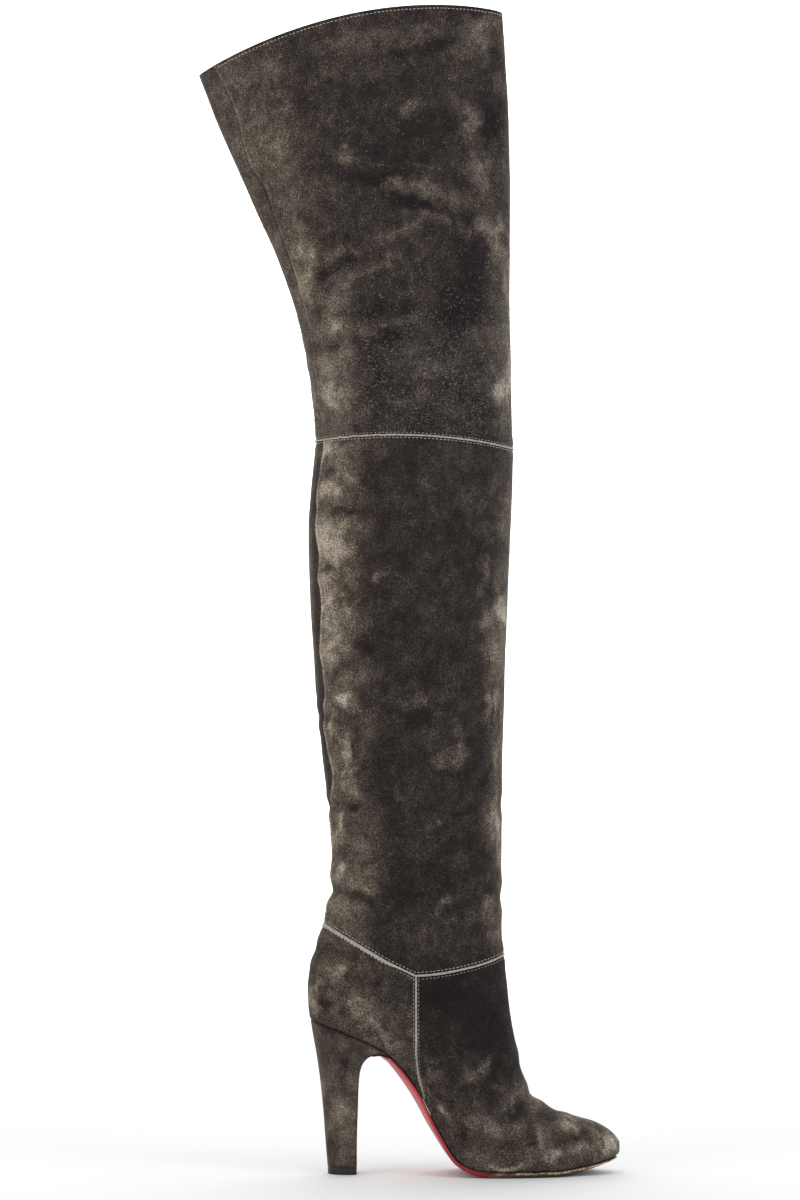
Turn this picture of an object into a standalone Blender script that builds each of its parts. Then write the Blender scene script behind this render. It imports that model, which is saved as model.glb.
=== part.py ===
"""Over-the-knee suede boot on a high block heel: a right boot, standing empty on its sole.

The foot points along +X, its outer side faces -Y and +Z is up. The origin lies on the floor,
under the middle of the boot's box. The tables are in millimetres and MM turns them into metres.

Every wall is a stack of closed rings. A ring runs round the leg or foot from its back point to its
front point and home again. The angle phi is 0 at the back, 90 degrees on the outer side, 180 at the
front and 270 on the inner side, and the share t = (1 - cos phi) / 2 runs from 0 at the back to 1 at
the front.
"""

import math
from collections import namedtuple

import bpy
import numpy as np

MM = 0.001

# Driving sizes, in millimetres
WALL = 2.0
GAP = 0.3
SEAT_GAP = 0.45
SEAM_GAP = 0.35
HEEL_END_RADIUS = 22.0
TOE_END_RADII = {"outer": 12.5, "inner": 20.0}
INSOLE_THICKNESS = 2.0
INSOLE_CLEARANCE = 0.5
SOLE_OVERHANG = 0.4
HEEL_TIP_HEIGHT = 4.7
HEEL_TIP_CHAMFER = 0.7
PIPING_WIDTH = 1.9
PIPING_DEPTH = 1.2
PIPING_RISE = 0.8
SIDE_PIPING_LIFT = 0.45
SIDE_PIPING_RISE = 1.3

# The back seam is lapped: the outer panel's edge stands proud of the strip behind it
SEAM_STRIP_DEG = 24.5
SEAM_PANEL_DEG = 28.5
SEAM_STEP = 0.8
SEAM_FADE_DEG = 26.0

# Seams run in the middle of a slot that holds the piping with a gap on either side
SEAM_HALF_SLOT = PIPING_WIDTH / 2 + SEAM_GAP

# How closely the rings are divided, and how far the lap's pair of columns keeps from the others
SEAM_CLEAR_DEG = 3.0
FOOT_HALF_COLUMNS = 25
FOOT_CROWDING = 0.06
UPPER_ROWS = 21

# The sole, from the back of the heel to the tip of the toe: height of the feather line where the
# upper meets it, half widths to the outer and inner edge, thickness at the edge, and how far its
# underside bellies out below the edge
Sole = namedtuple("Sole", "station x z outer inner edge belly")
SOLE = [
    Sole("heel_back", -66.5, 103.0, 0.0, 0.0, 0.6, 0.0),
    Sole("heel_seat", -40.0, 93.0, 24.3, 24.3, 0.6, 0.0),
    Sole("breast", -18.0, 82.3, 24.4, 23.8, 1.2, 2.5),
    Sole("waist", 4.0, 57.6, 25.8, 22.8, 2.0, 3.2),
    Sole("arch_foot", 18.0, 30.8, 29.2, 24.8, 2.2, 2.0),
    Sole("ball_rear", 32.0, 9.8, 33.8, 29.4, 2.8, 0.4),
    Sole("tread_rear", 44.0, 5.0, 37.0, 33.0, 3.5, 0.0),
    Sole("tread", 56.0, 4.0, 38.9, 36.6, 3.7, 0.0),
    Sole("ball", 68.0, 4.0, 38.9, 38.7, 3.7, 0.0),
    Sole("tread_front", 94.0, 4.0, 34.2, 37.6, 3.7, 0.0),
    Sole("toe", 118.0, 6.5, 21.6, 28.8, 2.3, 0.0),
    Sole("toe_tip", 138.6, 11.1, 0.0, 0.0, 0.9, 0.0),
]

# The sole's rear end, under the heel's front lip
SOLE_END_X = -24.0

# The upper, from the feather line to the ankle seam: its back and front points, how far a ring
# follows the sole's curve and the seam's vee, how far its width has gone from sole to ankle, and
# how far heel, waist and ball swell out
Upper = namedtuple("Upper", "back_x back_z front_x front_z sole vee ankle heel waist ball")
UPPER = [
    Upper(-66.5, 103.0, 138.6, 11.1, 1.00, 0.00, 0.00, 0.0, 0.0, 0.0),
    Upper(-67.3, 107.5, 140.7, 14.8, 0.97, 0.00, 0.03, 2.0, 1.0, 1.6),
    Upper(-67.9, 112.5, 140.6, 20.0, 0.92, 0.00, 0.08, 3.6, 1.9, 2.4),
    Upper(-68.2, 117.5, 136.4, 26.3, 0.86, 0.00, 0.16, 4.6, 2.6, 2.6),
    Upper(-68.4, 122.0, 125.0, 33.8, 0.80, 0.00, 0.25, 5.0, 3.1, 2.2),
    Upper(-68.4, 126.0, 107.5, 39.0, 0.73, 0.00, 0.34, 5.0, 3.3, 1.4),
    Upper(-68.0, 130.0, 92.0, 45.0, 0.65, 0.00, 0.43, 4.6, 3.2, 0.6),
    Upper(-67.5, 134.0, 82.4, 52.3, 0.56, 0.03, 0.52, 4.0, 2.9, 0.0),
    Upper(-66.7, 138.5, 77.2, 61.0, 0.47, 0.07, 0.60, 3.4, 2.5, 0.0),
    Upper(-65.6, 143.3, 73.7, 74.5, 0.37, 0.13, 0.69, 2.6, 1.9, 0.0),
    Upper(-64.1, 148.5, 69.9, 91.0, 0.27, 0.22, 0.78, 1.8, 1.3, 0.0),
    Upper(-62.2, 154.5, 66.9, 109.0, 0.17, 0.40, 0.87, 1.0, 0.7, 0.0),
    Upper(-59.8, 160.8, 64.8, 128.0, 0.08, 0.68, 0.94, 0.4, 0.3, 0.0),
    Upper(-57.2, 167.0, 63.0, 146.0, 0.00, 1.00, 1.00, 0.0, 0.0, 0.0),
]

# The ankle seam drops in a vee between its back and front points: the depth of its two legs, as
# shares of the way round and of the full drop
VEE_DEPTH = 23.0
VEE_BACK = [(0.0, 0.0), (0.2, 0.44), (0.34, 0.74), (0.43, 0.89), (0.5, 1.0)]
VEE_FRONT = [(0.5, 1.0), (0.6, 0.87), (0.79, 0.53), (0.92, 0.235), (1.0, 0.0)]

# The ankle's half width at the back, side and front of its ring
ANKLE_HALF_WIDTHS = (29.0, 31.5, 29.0)

# The shaft's rings: back and front points, half width, how far the ring follows the ankle seam's
# vee, how far its sides arch up, and the power that flattens its sides
Shaft = namedtuple("Shaft", "back_x back_z front_x front_z half_width vee arch power")
LEG = [
    Shaft(-57.2, 167.0, 63.0, 146.0, 31.0, 1.00, 0.0, 1.00),
    Shaft(-55.0, 178.0, 61.6, 161.0, 31.4, 0.75, 0.0, 1.00),
    Shaft(-52.2, 190.0, 61.3, 177.5, 32.0, 0.45, 0.0, 1.00),
    Shaft(-52.4, 208.0, 61.3, 201.0, 33.2, 0.20, 0.0, 1.00),
    Shaft(-54.2, 238.5, 61.6, 236.0, 36.0, 0.05, 0.0, 1.00),
    Shaft(-58.6, 279.0, 62.3, 278.0, 40.0, 0.00, 0.0, 1.00),
    Shaft(-62.6, 319.0, 63.2, 319.0, 43.5, 0.00, 0.0, 1.00),
    Shaft(-65.4, 362.5, 64.7, 362.5, 46.5, 0.00, 0.0, 1.00),
    Shaft(-67.3, 399.0, 66.3, 399.0, 48.0, 0.00, 0.0, 1.00),
    Shaft(-68.0, 429.5, 67.7, 429.0, 48.5, 0.00, 1.0, 1.00),
    Shaft(-66.3, 456.3, 68.7, 455.0, 48.0, 0.00, 2.5, 1.00),
    Shaft(-62.8, 489.0, 69.2, 483.7, 47.0, 0.00, 5.0, 1.00),
]
THIGH = [
    Shaft(-62.8, 489.0, 69.2, 483.7, 47.0, 0.00, 5.0, 1.00),
    Shaft(-64.7, 513.0, 68.2, 508.0, 46.3, 0.00, 5.0, 1.00),
    Shaft(-68.0, 540.0, 68.0, 538.0, 45.0, 0.00, 5.5, 1.00),
    Shaft(-75.4, 573.0, 67.0, 580.0, 42.8, 0.00, 6.5, 0.98),
    Shaft(-88.1, 610.0, 67.3, 630.0, 40.0, 0.00, 8.5, 0.96),
    Shaft(-101.5, 640.5, 67.3, 667.0, 37.6, 0.00, 10.5, 0.94),
    Shaft(-114.9, 670.7, 66.3, 705.0, 35.4, 0.00, 12.5, 0.92),
    Shaft(-128.3, 701.0, 64.5, 741.0, 33.4, 0.00, 14.8, 0.90),
    Shaft(-141.0, 733.7, 62.0, 776.5, 31.5, 0.00, 17.0, 0.88),
]

# The heel's rings, from the top of its tip to its seat: back and front points, half width, and how
# far a ring follows the slope of the seat
Heel = namedtuple("Heel", "back_x back_z front_x front_z half_width seat")
HEEL = [
    Heel(-54.9, 5.0, -35.6, 5.0, 12.3, 0.0),
    Heel(-56.3, 22.0, -35.6, 22.0, 12.9, 0.0),
    Heel(-57.8, 42.0, -35.0, 42.0, 14.3, 0.0),
    Heel(-59.6, 60.0, -34.5, 60.0, 16.7, 0.0),
    Heel(-61.3, 73.0, -33.6, 69.0, 18.9, 0.0),
    Heel(-62.9, 83.0, -31.2, 75.4, 20.8, 0.1),
    Heel(-64.3, 90.5, -26.8, 79.2, 22.2, 0.3),
    Heel(-65.4, 97.0, -20.5, 80.4, 23.4, 0.65),
    Heel(-66.3, 102.7, -14.4, 79.0, 24.3, 1.0),
]
HEEL_LIP_ROWS = HEEL[-3:]
HEEL_BREAST_POINTS = 3
HEEL_ROWS_PER_SPAN = 2

# Where the side seam crosses the upper, from the ankle seam's vee down to the feather line
SideSeam = namedtuple("SideSeam", "row x")
SIDE_SEAM = [
    SideSeam(13.0, 3.0),
    SideSeam(9.0, 3.0),
    SideSeam(5.0, 3.3),
    SideSeam(2.5, 4.6),
    SideSeam(0.4, 9.6),
]

# Base colours, roughness and metallic share
SUEDE = ("suede", (0.062, 0.052, 0.045), 0.95, 0.0)
EDGE = ("raw_edge", (0.42, 0.39, 0.35), 0.9, 0.0)
SOLE_LEATHER = ("sole_leather", (0.48, 0.04, 0.05), 0.3, 0.0)
RUBBER = ("heel_rubber", (0.012, 0.012, 0.013), 0.6, 0.0)
LINING = ("lining_leather", (0.16, 0.12, 0.09), 0.6, 0.0)


def smooth(xs, ys, at):
    """A curve through the points (xs, ys) that never swings past them, read at one or many places."""
    xs, ys, at = (np.asarray(v, float) for v in (xs, ys, at))
    steps = np.diff(xs)
    rises = np.diff(ys) / steps
    slopes = np.zeros_like(ys)
    slopes[0], slopes[-1] = rises[0], rises[-1]
    for i in range(1, len(xs) - 1):
        before, after = rises[i - 1], rises[i]
        if before * after > 0:
            ahead, behind = 2 * steps[i] + steps[i - 1], steps[i] + 2 * steps[i - 1]
            slopes[i] = (ahead + behind) / (ahead / before + behind / after)
    i = np.clip(np.searchsorted(xs, at) - 1, 0, len(steps) - 1)
    h = steps[i]
    s = np.clip((at - xs[i]) / h, 0.0, 1.0)
    start = (1 + 2 * s) * (1 - s) ** 2 * ys[i] + s * (1 - s) ** 2 * h * slopes[i]
    end = s * s * (3 - 2 * s) * ys[i + 1] - s * s * (1 - s) * h * slopes[i + 1]
    return start + end


def column(table, name):
    return np.array([getattr(row, name) for row in table], float)


def between(table, at):
    """The table's row at a fractional row number."""
    rows = np.arange(len(table))
    return type(table[0])(*(float(smooth(rows, column(table, f), at)) for f in table[0]._fields))


def foot_angles():
    """Round the foot, closer together along the arch and ball than at heel and toe."""
    turn = np.arange(2 * FOOT_HALF_COLUMNS) / FOOT_HALF_COLUMNS
    return math.pi * (turn + FOOT_CROWDING * np.sin(2 * math.pi * turn))


def shaft_angles():
    """The foot's columns carried up the shaft, with a close pair at the back seam's lap."""
    degrees = np.degrees(foot_angles())
    apart = np.minimum(abs(degrees - SEAM_STRIP_DEG), abs(degrees - SEAM_PANEL_DEG))
    return np.radians(sorted([*degrees[apart > SEAM_CLEAR_DEG], SEAM_STRIP_DEG, SEAM_PANEL_DEG]))


FOOT_PHI, SHAFT_PHI = foot_angles(), shaft_angles()
HALF_FOOT_PHI = np.append(FOOT_PHI[:FOOT_HALF_COLUMNS], math.pi)
TOE_X, HEEL_X = SOLE[-1].x, SOLE[0].x
FOOT_LENGTH = TOE_X - HEEL_X
FOOT_X = HEEL_X + FOOT_LENGTH * (1 - np.cos(HALF_FOOT_PHI)) / 2


def sole_z(x):
    return smooth(column(SOLE, "x"), column(SOLE, "z"), x)


def sole_sag(x):
    """How far the sole lies below the straight line from the back of its heel to its toe."""
    x = np.clip(x, HEEL_X, TOE_X)
    return sole_z(x) - SOLE[0].z - (SOLE[-1].z - SOLE[0].z) * (x - HEEL_X) / FOOT_LENGTH


def sole_swell(side, t):
    """Half width of the sole at the share t of its length, over that of an ellipse one wide."""
    shares = (column(SOLE, "x") - HEEL_X) / FOOT_LENGTH
    swell = column(SOLE, side)
    swell[1:-1] /= 2 * np.sqrt(shares[1:-1] * (1 - shares[1:-1]))
    swell[0] = math.sqrt(HEEL_END_RADIUS * FOOT_LENGTH / 2)
    swell[-1] = math.sqrt(TOE_END_RADII[side] * FOOT_LENGTH / 2)
    return smooth(shares, swell, t)


def sole_half_width(side, x):
    t = np.clip((np.asarray(x, float) - HEEL_X) / FOOT_LENGTH, 0.0, 1.0)
    return sole_swell(side, t) * 2 * np.sqrt(t * (1 - t))


def vee(t):
    """Drop of the ankle seam below the line from its back to its front point, from 0 to 1."""
    return np.where(t < VEE_FRONT[0][0], smooth(*zip(*VEE_BACK), t), smooth(*zip(*VEE_FRONT), t))


def ring(row, half_width, drop, phi, power=1.0):
    """A ring's points. half_width takes the side and t, and drop takes t."""
    t = (1 - np.cos(phi)) / 2
    x = row.back_x + (row.front_x - row.back_x) * t
    z = row.back_z + (row.front_z - row.back_z) * t + drop(t)
    swing = np.sign(np.sin(phi)) * np.abs(np.sin(phi)) ** power
    y = -swing * np.where(np.sin(phi) > 0, half_width("outer", t), half_width("inner", t))
    return np.stack([x, y, z], axis=1)


def upper_ring(at, phi=FOOT_PHI):
    """The upper's outer ring at a fractional row of its table."""
    row = between(UPPER, at)

    def half_width(side, t):
        ankle = smooth([0, 0.5, 1], ANKLE_HALF_WIDTHS, t)
        heel = smooth([0, 0.1, 0.38, 1], [1, 1, 0, 0], t)
        ball = smooth([0, 0.35, 0.68, 1], [0, 0, 1, 1], t)
        swell = row.heel * heel + row.ball * ball + row.waist * (1 - heel - ball)
        return sole_swell(side, t) * (1 - row.ankle) + ankle * row.ankle + swell

    def drop(t):
        below = sole_sag(row.back_x + (row.front_x - row.back_x) * t) - t * t * sole_sag(row.front_x)
        return row.sole * below - row.vee * VEE_DEPTH * vee(t)

    return ring(row, half_width, drop, phi)


def shaft_ring(table, at, phi=SHAFT_PHI):
    """The shaft's outer ring at a fractional row of its table, before the back seam's lap."""
    row = between(table, at)

    def drop(t):
        return row.arch * 4 * t * (1 - t) - row.vee * VEE_DEPTH * vee(t)

    return ring(row, lambda side, t: row.half_width, drop, phi, row.power)


def lap(phi):
    """Rise of the lapped back seam: the outer panel stands proud and the strip behind it sits low."""
    turn = np.degrees((phi + math.pi) % (2 * math.pi) - math.pi)
    panel = np.exp(-(((turn - SEAM_PANEL_DEG) / SEAM_FADE_DEG) ** 2))
    strip = np.exp(-(((turn - SEAM_STRIP_DEG) / SEAM_FADE_DEG) ** 2))
    return SEAM_STEP * np.where(turn > (SEAM_STRIP_DEG + SEAM_PANEL_DEG) / 2, panel, -strip)


def normals(grid):
    """Outward normals of a stack of rings. The two end rings are kept level."""
    along = np.gradient(grid, axis=0)
    around = np.roll(grid, -1, axis=1) - np.roll(grid, 1, axis=1)
    found = np.cross(around, along)
    found[[0, -1], :, 2] = 0
    return found / np.linalg.norm(found, axis=2, keepdims=True)


def material(look):
    name, colour, roughness, metallic = look
    made = bpy.data.materials.get(name) or bpy.data.materials.new(name)
    made.use_nodes = True
    shader = made.node_tree.nodes["Principled BSDF"]
    shader.inputs["Base Color"].default_value = (*colour, 1.0)
    shader.inputs["Roughness"].default_value = roughness
    shader.inputs["Metallic"].default_value = metallic
    return made


def add_object(name, points, faces, look, sharp_deg=35):
    mesh = bpy.data.meshes.new(name)
    mesh.from_pydata((np.asarray(points) * MM).tolist(), [], faces)
    mesh.shade_smooth()
    mesh.set_sharp_from_angle(angle=math.radians(sharp_deg))
    mesh.materials.append(material(look))
    made = bpy.data.objects.new(name, mesh)
    bpy.context.scene.collection.objects.link(made)
    return made


def band(first, second):
    """Quads that join two closed loops of the same length, given as vertex numbers."""
    count = len(first)
    return [(first[i], first[(i + 1) % count], second[(i + 1) % count], second[i]) for i in range(count)]


def add_wall(name, grid, look):
    """A hollow wall: the grid is its outer face, and its inner face lies one wall further in."""
    rows, count, _ = grid.shape
    inner = grid - WALL * normals(grid)
    points = np.concatenate([grid.reshape(-1, 3), inner.reshape(-1, 3)])
    number = np.arange(len(points)).reshape(2, rows, count).tolist()
    faces = []
    for r in range(rows - 1):
        faces += band(number[0][r], number[0][r + 1])
        faces += band(number[1][r + 1], number[1][r])
    faces += band(number[1][0], number[0][0])
    faces += band(number[0][-1], number[1][-1])
    return add_object(name, points, faces, look)


def rungs(loop, front):
    """Faces across a loop from side to side, like the rungs of a ladder, up to its front points."""
    count = len(loop)
    side = (count - front + 1) // 2
    faces = [(loop[0], loop[1], loop[-1])]
    faces += [(loop[i], loop[i + 1], loop[count - i - 1], loop[count - i]) for i in range(1, side - 2)]
    return faces + [tuple(loop[side - 2 : count - side + 3])]


def add_loft(name, loops, look, front=None):
    """A solid through closed loops. Its ends are one face each, or rungs where they are curved."""
    number = np.arange(len(loops) * len(loops[0])).reshape(len(loops), -1).tolist()
    first, last = ([tuple(loop)] if front is None else rungs(loop, front) for loop in (number[0], number[-1]))
    faces = [tuple(reversed(face)) for face in first] + last
    for lower, higher in zip(number, number[1:]):
        faces += band(lower, higher)
    return add_object(name, np.concatenate(loops), faces, look)


def add_strip_ring(name, loop, look):
    """A closed cord of piping that lies in the slot along a seam ring."""
    around = np.roll(loop, -1, axis=0) - np.roll(loop, 1, axis=0)
    outward = np.stack([-around[:, 1], around[:, 0], np.zeros(len(loop))], axis=1)
    outward /= -np.linalg.norm(outward, axis=1, keepdims=True)
    half, crown = PIPING_WIDTH / 2, PIPING_RISE / 2
    section = [(-PIPING_DEPTH, half), (crown, half), (PIPING_RISE, half / 2)]
    section += [(rise, -height) for rise, height in reversed(section)]
    sides = [loop + rise * outward + np.array([0, 0, height]) for rise, height in section]
    number = np.arange(len(section) * len(loop)).reshape(len(section), -1).tolist()
    faces = []
    for first, second in zip(number, number[1:] + number[:1]):
        faces += band(second, first)
    return add_object(name, np.concatenate(sides), faces, look)


def upper_grid():
    """The upper's outer face, cut back at the ankle for the piping."""
    grid = np.array([upper_ring(at) for at in np.linspace(0, len(UPPER) - 1, UPPER_ROWS)])
    grid[-1, :, 2] -= SEAM_HALF_SLOT
    return grid


def build_upper():
    return add_wall("upper", upper_grid(), SUEDE)


def shaft_grid(table):
    """The shaft's outer face, cut back at its foot for the piping and lapped at the back seam."""
    grid = np.array([shaft_ring(table, at) for at in range(len(table))])
    grid[0, :, 2] += SEAM_HALF_SLOT
    return grid + normals(grid) * lap(SHAFT_PHI)[None, :, None]


def build_leg():
    grid = shaft_grid(LEG)
    grid[-1, :, 2] -= SEAM_HALF_SLOT
    return add_wall("leg_shaft", grid, SUEDE)


def build_thigh():
    return add_wall("thigh_shaft", shaft_grid(THIGH), SUEDE)


def build_seam_piping():
    add_strip_ring("ankle_piping", upper_ring(len(UPPER) - 1, SHAFT_PHI), EDGE)
    add_strip_ring("knee_piping", shaft_ring(THIGH, 0), EDGE)


def build_side_piping(side):
    """The raised cord over the side seam, from just above the sole to just under the ankle piping."""
    grid = upper_grid()
    facing = normals(grid)
    half_ring = slice(1, FOOT_HALF_COLUMNS) if side == "outer" else slice(None, FOOT_HALF_COLUMNS, -1)
    half = PIPING_WIDTH / 2
    section = [(half, SIDE_PIPING_LIFT), (half, SIDE_PIPING_LIFT + 0.3), (half / 2, SIDE_PIPING_RISE)]
    section += [(-shift, lift) for shift, lift in reversed(section)]
    seam_rows, seam_x = column(SIDE_SEAM, "row")[::-1], column(SIDE_SEAM, "x")[::-1]
    loops = []
    for r in range(1, UPPER_ROWS):
        middle = float(smooth(seam_rows, seam_x, r * (len(UPPER) - 1) / (UPPER_ROWS - 1)))
        places, ways = grid[r, half_ring], facing[r, half_ring]
        loop = []
        for shift, lift in section:
            at = middle + shift
            point = [np.interp(at, places[:, 0], places[:, axis]) for axis in range(3)]
            way = [np.interp(at, places[:, 0], ways[:, axis]) for axis in range(3)]
            loop.append(np.array(point) + lift * np.array(way))
        loops.append(np.array(loop if side == "inner" else loop[::-1]))
    return add_loft(f"side_piping_{side}", loops, EDGE)


def sole_top_z(x):
    """Top of the sole: a gap below the heel's lip as far as that reaches, then below the upper."""
    lip_x, lip_z = column(HEEL_LIP_ROWS, "front_x"), column(HEEL_LIP_ROWS, "front_z")
    cover = float(smooth(lip_x, lip_z, x)) if x < lip_x[-1] else math.inf
    slope = float(sole_z(x + 0.5) - sole_z(x - 0.5))
    return min(float(sole_z(x)), cover) - GAP * math.hypot(1.0, slope)


def build_outsole():
    """Cross sections from the heel's lip to the toe, thin at the waist and flat under the tread."""
    across = (-1.0, -0.55, 0.0, 0.55, 1.0)
    loops = []
    for x in [SOLE_END_X, *FOOT_X[FOOT_X > SOLE_END_X + 2]]:
        slope = sole_top_z(x + 0.5) - sole_top_z(x - 0.5)
        down = np.array([slope, 0.0, -1.0]) / math.hypot(1.0, slope)
        top = np.array([x, 0.0, sole_top_z(x)])
        edge = float(smooth(column(SOLE, "x"), column(SOLE, "edge"), x))
        belly = float(smooth(column(SOLE, "x"), column(SOLE, "belly"), x))
        outer = -float(sole_half_width("outer", x)) - SOLE_OVERHANG
        inner = float(sole_half_width("inner", x)) + SOLE_OVERHANG
        sides = [(outer + inner) / 2 + (inner - outer) / 2 * share for share in across]
        depths = [edge + belly * (1 - share**2) for share in across]
        under = [top + down * depth + np.array([0, y, 0]) for depth, y in zip(depths, sides)]
        loops.append(np.array([top + np.array([0, outer, 0]), *under, top + np.array([0, inner, 0])]))
    return add_loft("outsole", loops, SOLE_LEATHER)


def heel_loop(row, shrink=0.0):
    """A ring of the heel: round at the back, and cut straight across at the breast."""
    seat_x = np.append(FOOT_X[FOOT_X < HEEL[-1].front_x - 2], HEEL[-1].front_x)
    t = (seat_x - seat_x[0]) / (seat_x[-1] - seat_x[0])
    back_x, front_x = row.back_x + shrink, row.front_x - shrink
    x = back_x + (front_x - back_x) * t
    chord = HEEL[-1].back_z + (HEEL[-1].front_z - HEEL[-1].back_z) * t
    z = row.back_z + (row.front_z - row.back_z) * t + row.seat * (sole_z(seat_x) - SEAT_GAP - chord)
    scale = (row.half_width - shrink) / HEEL[-1].half_width
    outer = np.stack([x, -sole_half_width("outer", seat_x) * scale, z], axis=1)
    inner = np.stack([x, sole_half_width("inner", seat_x) * scale, z], axis=1)
    shares = np.linspace(0, 1, HEEL_BREAST_POINTS + 2)[1:-1]
    breast = [outer[-1] + (inner[-1] - outer[-1]) * share for share in shares]
    return np.concatenate([outer, breast, inner[:0:-1]])


def build_heel():
    last = len(HEEL) - 1
    rows = np.linspace(0, last, HEEL_ROWS_PER_SPAN * last + 1)
    return add_loft("heel", [heel_loop(between(HEEL, at)) for at in rows], SUEDE, HEEL_BREAST_POINTS)


def build_heel_tip():
    """The rubber top piece that the heel walks on."""
    foot = HEEL[0]
    levels = [
        (0.0, HEEL_TIP_CHAMFER),
        (HEEL_TIP_CHAMFER, 0.1),
        (HEEL_TIP_HEIGHT, 0.1),
    ]
    loops = [heel_loop(foot._replace(back_z=z, front_z=z), shrink) for z, shrink in levels]
    return add_loft("heel_tip", loops, RUBBER)


def build_insole():
    """The sock that lines the bottom, inside the upper's wall and just clear of heel and sole."""
    grid = upper_grid()
    loop = grid[0] - (WALL + INSOLE_CLEARANCE) * normals(grid)[0]
    steep = np.hypot(1.0, sole_z(loop[:, 0] + 0.5) - sole_z(loop[:, 0] - 0.5))
    loops = []
    for lift in (GAP, GAP + INSOLE_THICKNESS):
        level = loop.copy()
        level[:, 2] = sole_z(loop[:, 0]) + lift * steep
        loops.append(level)
    return add_loft("insole", loops, LINING, front=1)


def main():
    for old in list(bpy.data.objects):
        bpy.data.objects.remove(old)
    build_outsole()
    build_heel()
    build_heel_tip()
    build_insole()
    build_upper()
    build_leg()
    build_thigh()
    build_seam_piping()
    build_side_piping("outer")
    build_side_piping("inner")


main()
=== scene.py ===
"""Looks of an over-the-knee suede boot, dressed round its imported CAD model.

The shapes repeat the CAD's tables and curves on a finer grid. The foot points along +X, its outer
side faces -Y and +Z is up. The tables are in millimetres and MM turns them into metres. Round a
ring, the angle phi is 0 at the back, 90 degrees on the outer side, 180 at the front and 270 on the
inner side. Creases and nap are placed by x and z, as seen square on to the outer side.
"""

import math
from collections import namedtuple

import bpy
import numpy as np
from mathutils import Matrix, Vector


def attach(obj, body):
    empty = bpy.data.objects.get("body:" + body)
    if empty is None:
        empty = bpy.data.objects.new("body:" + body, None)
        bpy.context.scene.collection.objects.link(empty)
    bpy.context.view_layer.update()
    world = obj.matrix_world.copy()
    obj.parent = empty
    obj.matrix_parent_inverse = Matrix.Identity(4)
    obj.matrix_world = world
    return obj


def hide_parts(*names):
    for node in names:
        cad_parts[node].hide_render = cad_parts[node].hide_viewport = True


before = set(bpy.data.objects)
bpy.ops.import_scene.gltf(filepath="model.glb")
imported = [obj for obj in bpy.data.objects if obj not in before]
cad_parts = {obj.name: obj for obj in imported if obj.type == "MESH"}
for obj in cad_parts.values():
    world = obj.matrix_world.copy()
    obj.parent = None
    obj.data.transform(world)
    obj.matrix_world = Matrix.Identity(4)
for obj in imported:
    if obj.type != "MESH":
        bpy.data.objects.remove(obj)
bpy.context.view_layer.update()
MM = 0.001

# Sizes repeated from the CAD
WALL = 2.0
SEAT_GAP = 0.45
HEEL_END_RADIUS = 22.0
TOE_END_RADII = {"outer": 12.5, "inner": 20.0}
SOLE_OVERHANG = 0.4

Sole = namedtuple("Sole", "x z outer inner edge belly")
SOLE = [
    Sole(-66.5, 103.0, 0.0, 0.0, 0.6, 0.0),
    Sole(-40.0, 93.0, 24.3, 24.3, 0.6, 0.0),
    Sole(-18.0, 82.3, 24.4, 23.8, 1.2, 2.5),
    Sole(4.0, 57.6, 25.8, 22.8, 2.0, 3.2),
    Sole(18.0, 30.8, 29.2, 24.8, 2.2, 2.0),
    Sole(32.0, 9.8, 33.8, 29.4, 2.8, 0.4),
    Sole(44.0, 5.0, 37.0, 33.0, 3.5, 0.0),
    Sole(56.0, 4.0, 38.9, 36.6, 3.7, 0.0),
    Sole(68.0, 4.0, 38.9, 38.7, 3.7, 0.0),
    Sole(94.0, 4.0, 34.2, 37.6, 3.7, 0.0),
    Sole(118.0, 6.5, 21.6, 28.8, 2.3, 0.0),
    Sole(138.6, 11.1, 0.0, 0.0, 0.9, 0.0),
]

Upper = namedtuple("Upper", "back_x back_z front_x front_z sole vee ankle heel waist ball")
UPPER = [
    Upper(-66.5, 103.0, 138.6, 11.1, 1.00, 0.00, 0.00, 0.0, 0.0, 0.0),
    Upper(-67.3, 107.5, 140.7, 14.8, 0.97, 0.00, 0.03, 2.0, 1.0, 1.6),
    Upper(-67.9, 112.5, 140.6, 20.0, 0.92, 0.00, 0.08, 3.6, 1.9, 2.4),
    Upper(-68.2, 117.5, 136.4, 26.3, 0.86, 0.00, 0.16, 4.6, 2.6, 2.6),
    Upper(-68.4, 122.0, 125.0, 33.8, 0.80, 0.00, 0.25, 5.0, 3.1, 2.2),
    Upper(-68.4, 126.0, 107.5, 39.0, 0.73, 0.00, 0.34, 5.0, 3.3, 1.4),
    Upper(-68.0, 130.0, 92.0, 45.0, 0.65, 0.00, 0.43, 4.6, 3.2, 0.6),
    Upper(-67.5, 134.0, 82.4, 52.3, 0.56, 0.03, 0.52, 4.0, 2.9, 0.0),
    Upper(-66.7, 138.5, 77.2, 61.0, 0.47, 0.07, 0.60, 3.4, 2.5, 0.0),
    Upper(-65.6, 143.3, 73.7, 74.5, 0.37, 0.13, 0.69, 2.6, 1.9, 0.0),
    Upper(-64.1, 148.5, 69.9, 91.0, 0.27, 0.22, 0.78, 1.8, 1.3, 0.0),
    Upper(-62.2, 154.5, 66.9, 109.0, 0.17, 0.40, 0.87, 1.0, 0.7, 0.0),
    Upper(-59.8, 160.8, 64.8, 128.0, 0.08, 0.68, 0.94, 0.4, 0.3, 0.0),
    Upper(-57.2, 167.0, 63.0, 146.0, 0.00, 1.00, 1.00, 0.0, 0.0, 0.0),
]
VEE_DEPTH = 23.0
VEE_BACK = [(0.0, 0.0), (0.2, 0.44), (0.34, 0.74), (0.43, 0.89), (0.5, 1.0)]
VEE_FRONT = [(0.5, 1.0), (0.6, 0.87), (0.79, 0.53), (0.92, 0.235), (1.0, 0.0)]
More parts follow.
